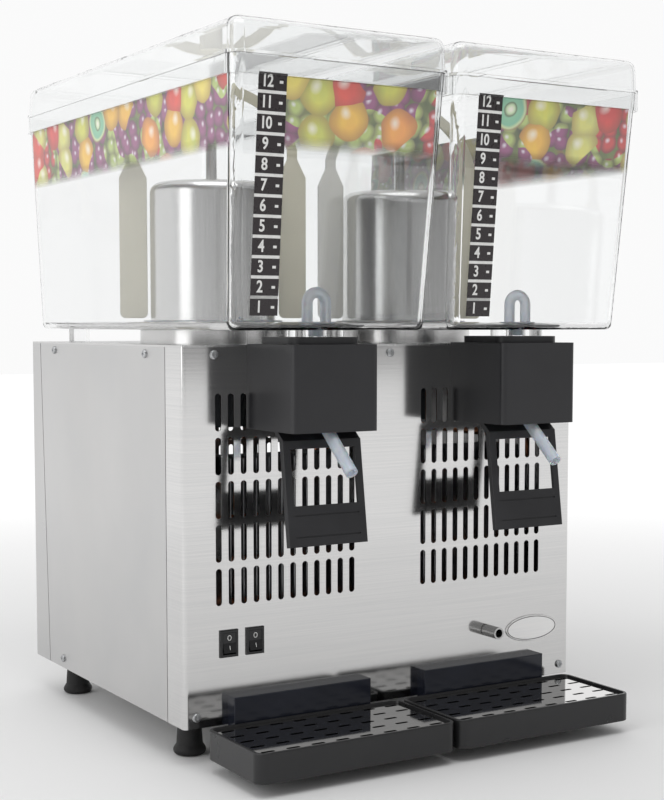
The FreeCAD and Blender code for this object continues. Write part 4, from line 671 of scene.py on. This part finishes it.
BACKDROP_TONE = 0.96
FLOOR_TONE = 0.86
FLOOR_NEAR = 0.45            # the floor is plain paper out to here
FLOOR_FAR = 1.6              # and as bright as the backdrop from here on


def make_floor():
    """Paper floor that brightens into the backdrop, so that no horizon shows."""
    shader = Shader("floor_paper", (FLOOR_TONE,) * 3, Roughness=0.75, Emission_Color=(1.0, 1.0, 1.0, 1.0))
    distance = shader.add("ShaderNodeVectorMath", operation="LENGTH")
    shader.link(shader.place(), distance.inputs[0])
    away = shader.spread(distance.outputs["Value"], 0.0, 1.0, FLOOR_NEAR, FLOOR_FAR)
    shader.color(shader.mix(away, (FLOOR_TONE,) * 3, (0.0, 0.0, 0.0)))
    shader.link(shader.maths("MULTIPLY", away, BACKDROP_TONE), shader.surface.inputs["Emission Strength"])
    shader.bump(shader.noise(120.0), 0.03, 0.001)
    mesh = bpy.data.meshes.new("floor")
    reach = 9.0
    corners = [(-reach, -reach, 0), (reach, -reach, 0), (reach, reach, 0), (-reach, reach, 0)]
    mesh.from_pydata(corners, [], [(0, 1, 2, 3)])
    mesh.materials.append(shader.material)
    floor = bpy.data.objects.new("floor", mesh)
    bpy.context.scene.collection.objects.link(floor)


def make_world():
    """White behind the machine, greyer in front of it, so that its steel reads as steel."""
    world = bpy.data.worlds.new("studio")
    bpy.context.scene.world = world
    world.use_nodes = True
    tree = world.node_tree
    background = tree.nodes["Background"]
    where = tree.nodes.new("ShaderNodeTexCoord")
    parts = tree.nodes.new("ShaderNodeSeparateXYZ")
    ramp = tree.nodes.new("ShaderNodeValToRGB")
    tree.links.new(where.outputs["Generated"], parts.inputs["Vector"])
    across = tree.nodes.new("ShaderNodeMapRange")
    across.inputs["From Min"].default_value = -1.0
    tree.links.new(parts.outputs["Y"], across.inputs["Value"])
    tree.links.new(across.outputs["Result"], ramp.inputs["Fac"])
    tones = [(0.0, 0.36), (0.30, 0.42), (0.55, 0.80), (0.68, BACKDROP_TONE)]
    elements = ramp.color_ramp.elements
    while len(elements) < len(tones):
        elements.new(1.0)
    for element, (position, tone) in zip(elements, tones):
        element.position = position
        element.color = (tone, tone, tone, 1.0)
    tree.links.new(ramp.outputs["Color"], background.inputs["Color"])


def make_light(name, place, target, size, power):
    light = bpy.data.lights.new(name, "AREA")
    light.shape = "RECTANGLE"
    light.size, light.size_y = size
    light.energy = power
    lamp = bpy.data.objects.new(name, light)
    lamp.location = place
    lamp.rotation_euler = (target - place).to_track_quat("-Z", "Y").to_euler()
    bpy.context.scene.collection.objects.link(lamp)


CAMERA_PLACE = Vector((-0.710, -1.1905, 0.355))
CAMERA_YAW = 31.3
CAMERA_PITCH = -4.4
CAMERA_LENS = 68.0
CAMERA_SHIFT = 0.05


def make_camera():
    camera = bpy.data.cameras.new("camera")
    camera.lens = CAMERA_LENS
    camera.sensor_width = 36.0
    camera.shift_y = CAMERA_SHIFT
    camera.clip_start = 0.05
    holder = bpy.data.objects.new("camera", camera)
    holder.location = CAMERA_PLACE
    holder.rotation_euler = Euler((math.radians(90 + CAMERA_PITCH), 0, math.radians(-CAMERA_YAW)))
    bpy.context.scene.collection.objects.link(holder)
    bpy.context.scene.camera = holder


machine_middle = sum((Vector(corner) for corner in cad_bounds), Vector()) / 2
make_floor()
make_world()
make_light("overhead", Vector((-0.3, -0.6, 1.9)), machine_middle, (1.6, 1.2), 12.0)
make_light("left_window", Vector((-2.1, -0.5, 1.0)), machine_middle, (0.9, 1.6), 8.0)
bpy.context.scene.view_settings.view_transform = "Standard"
make_camera()
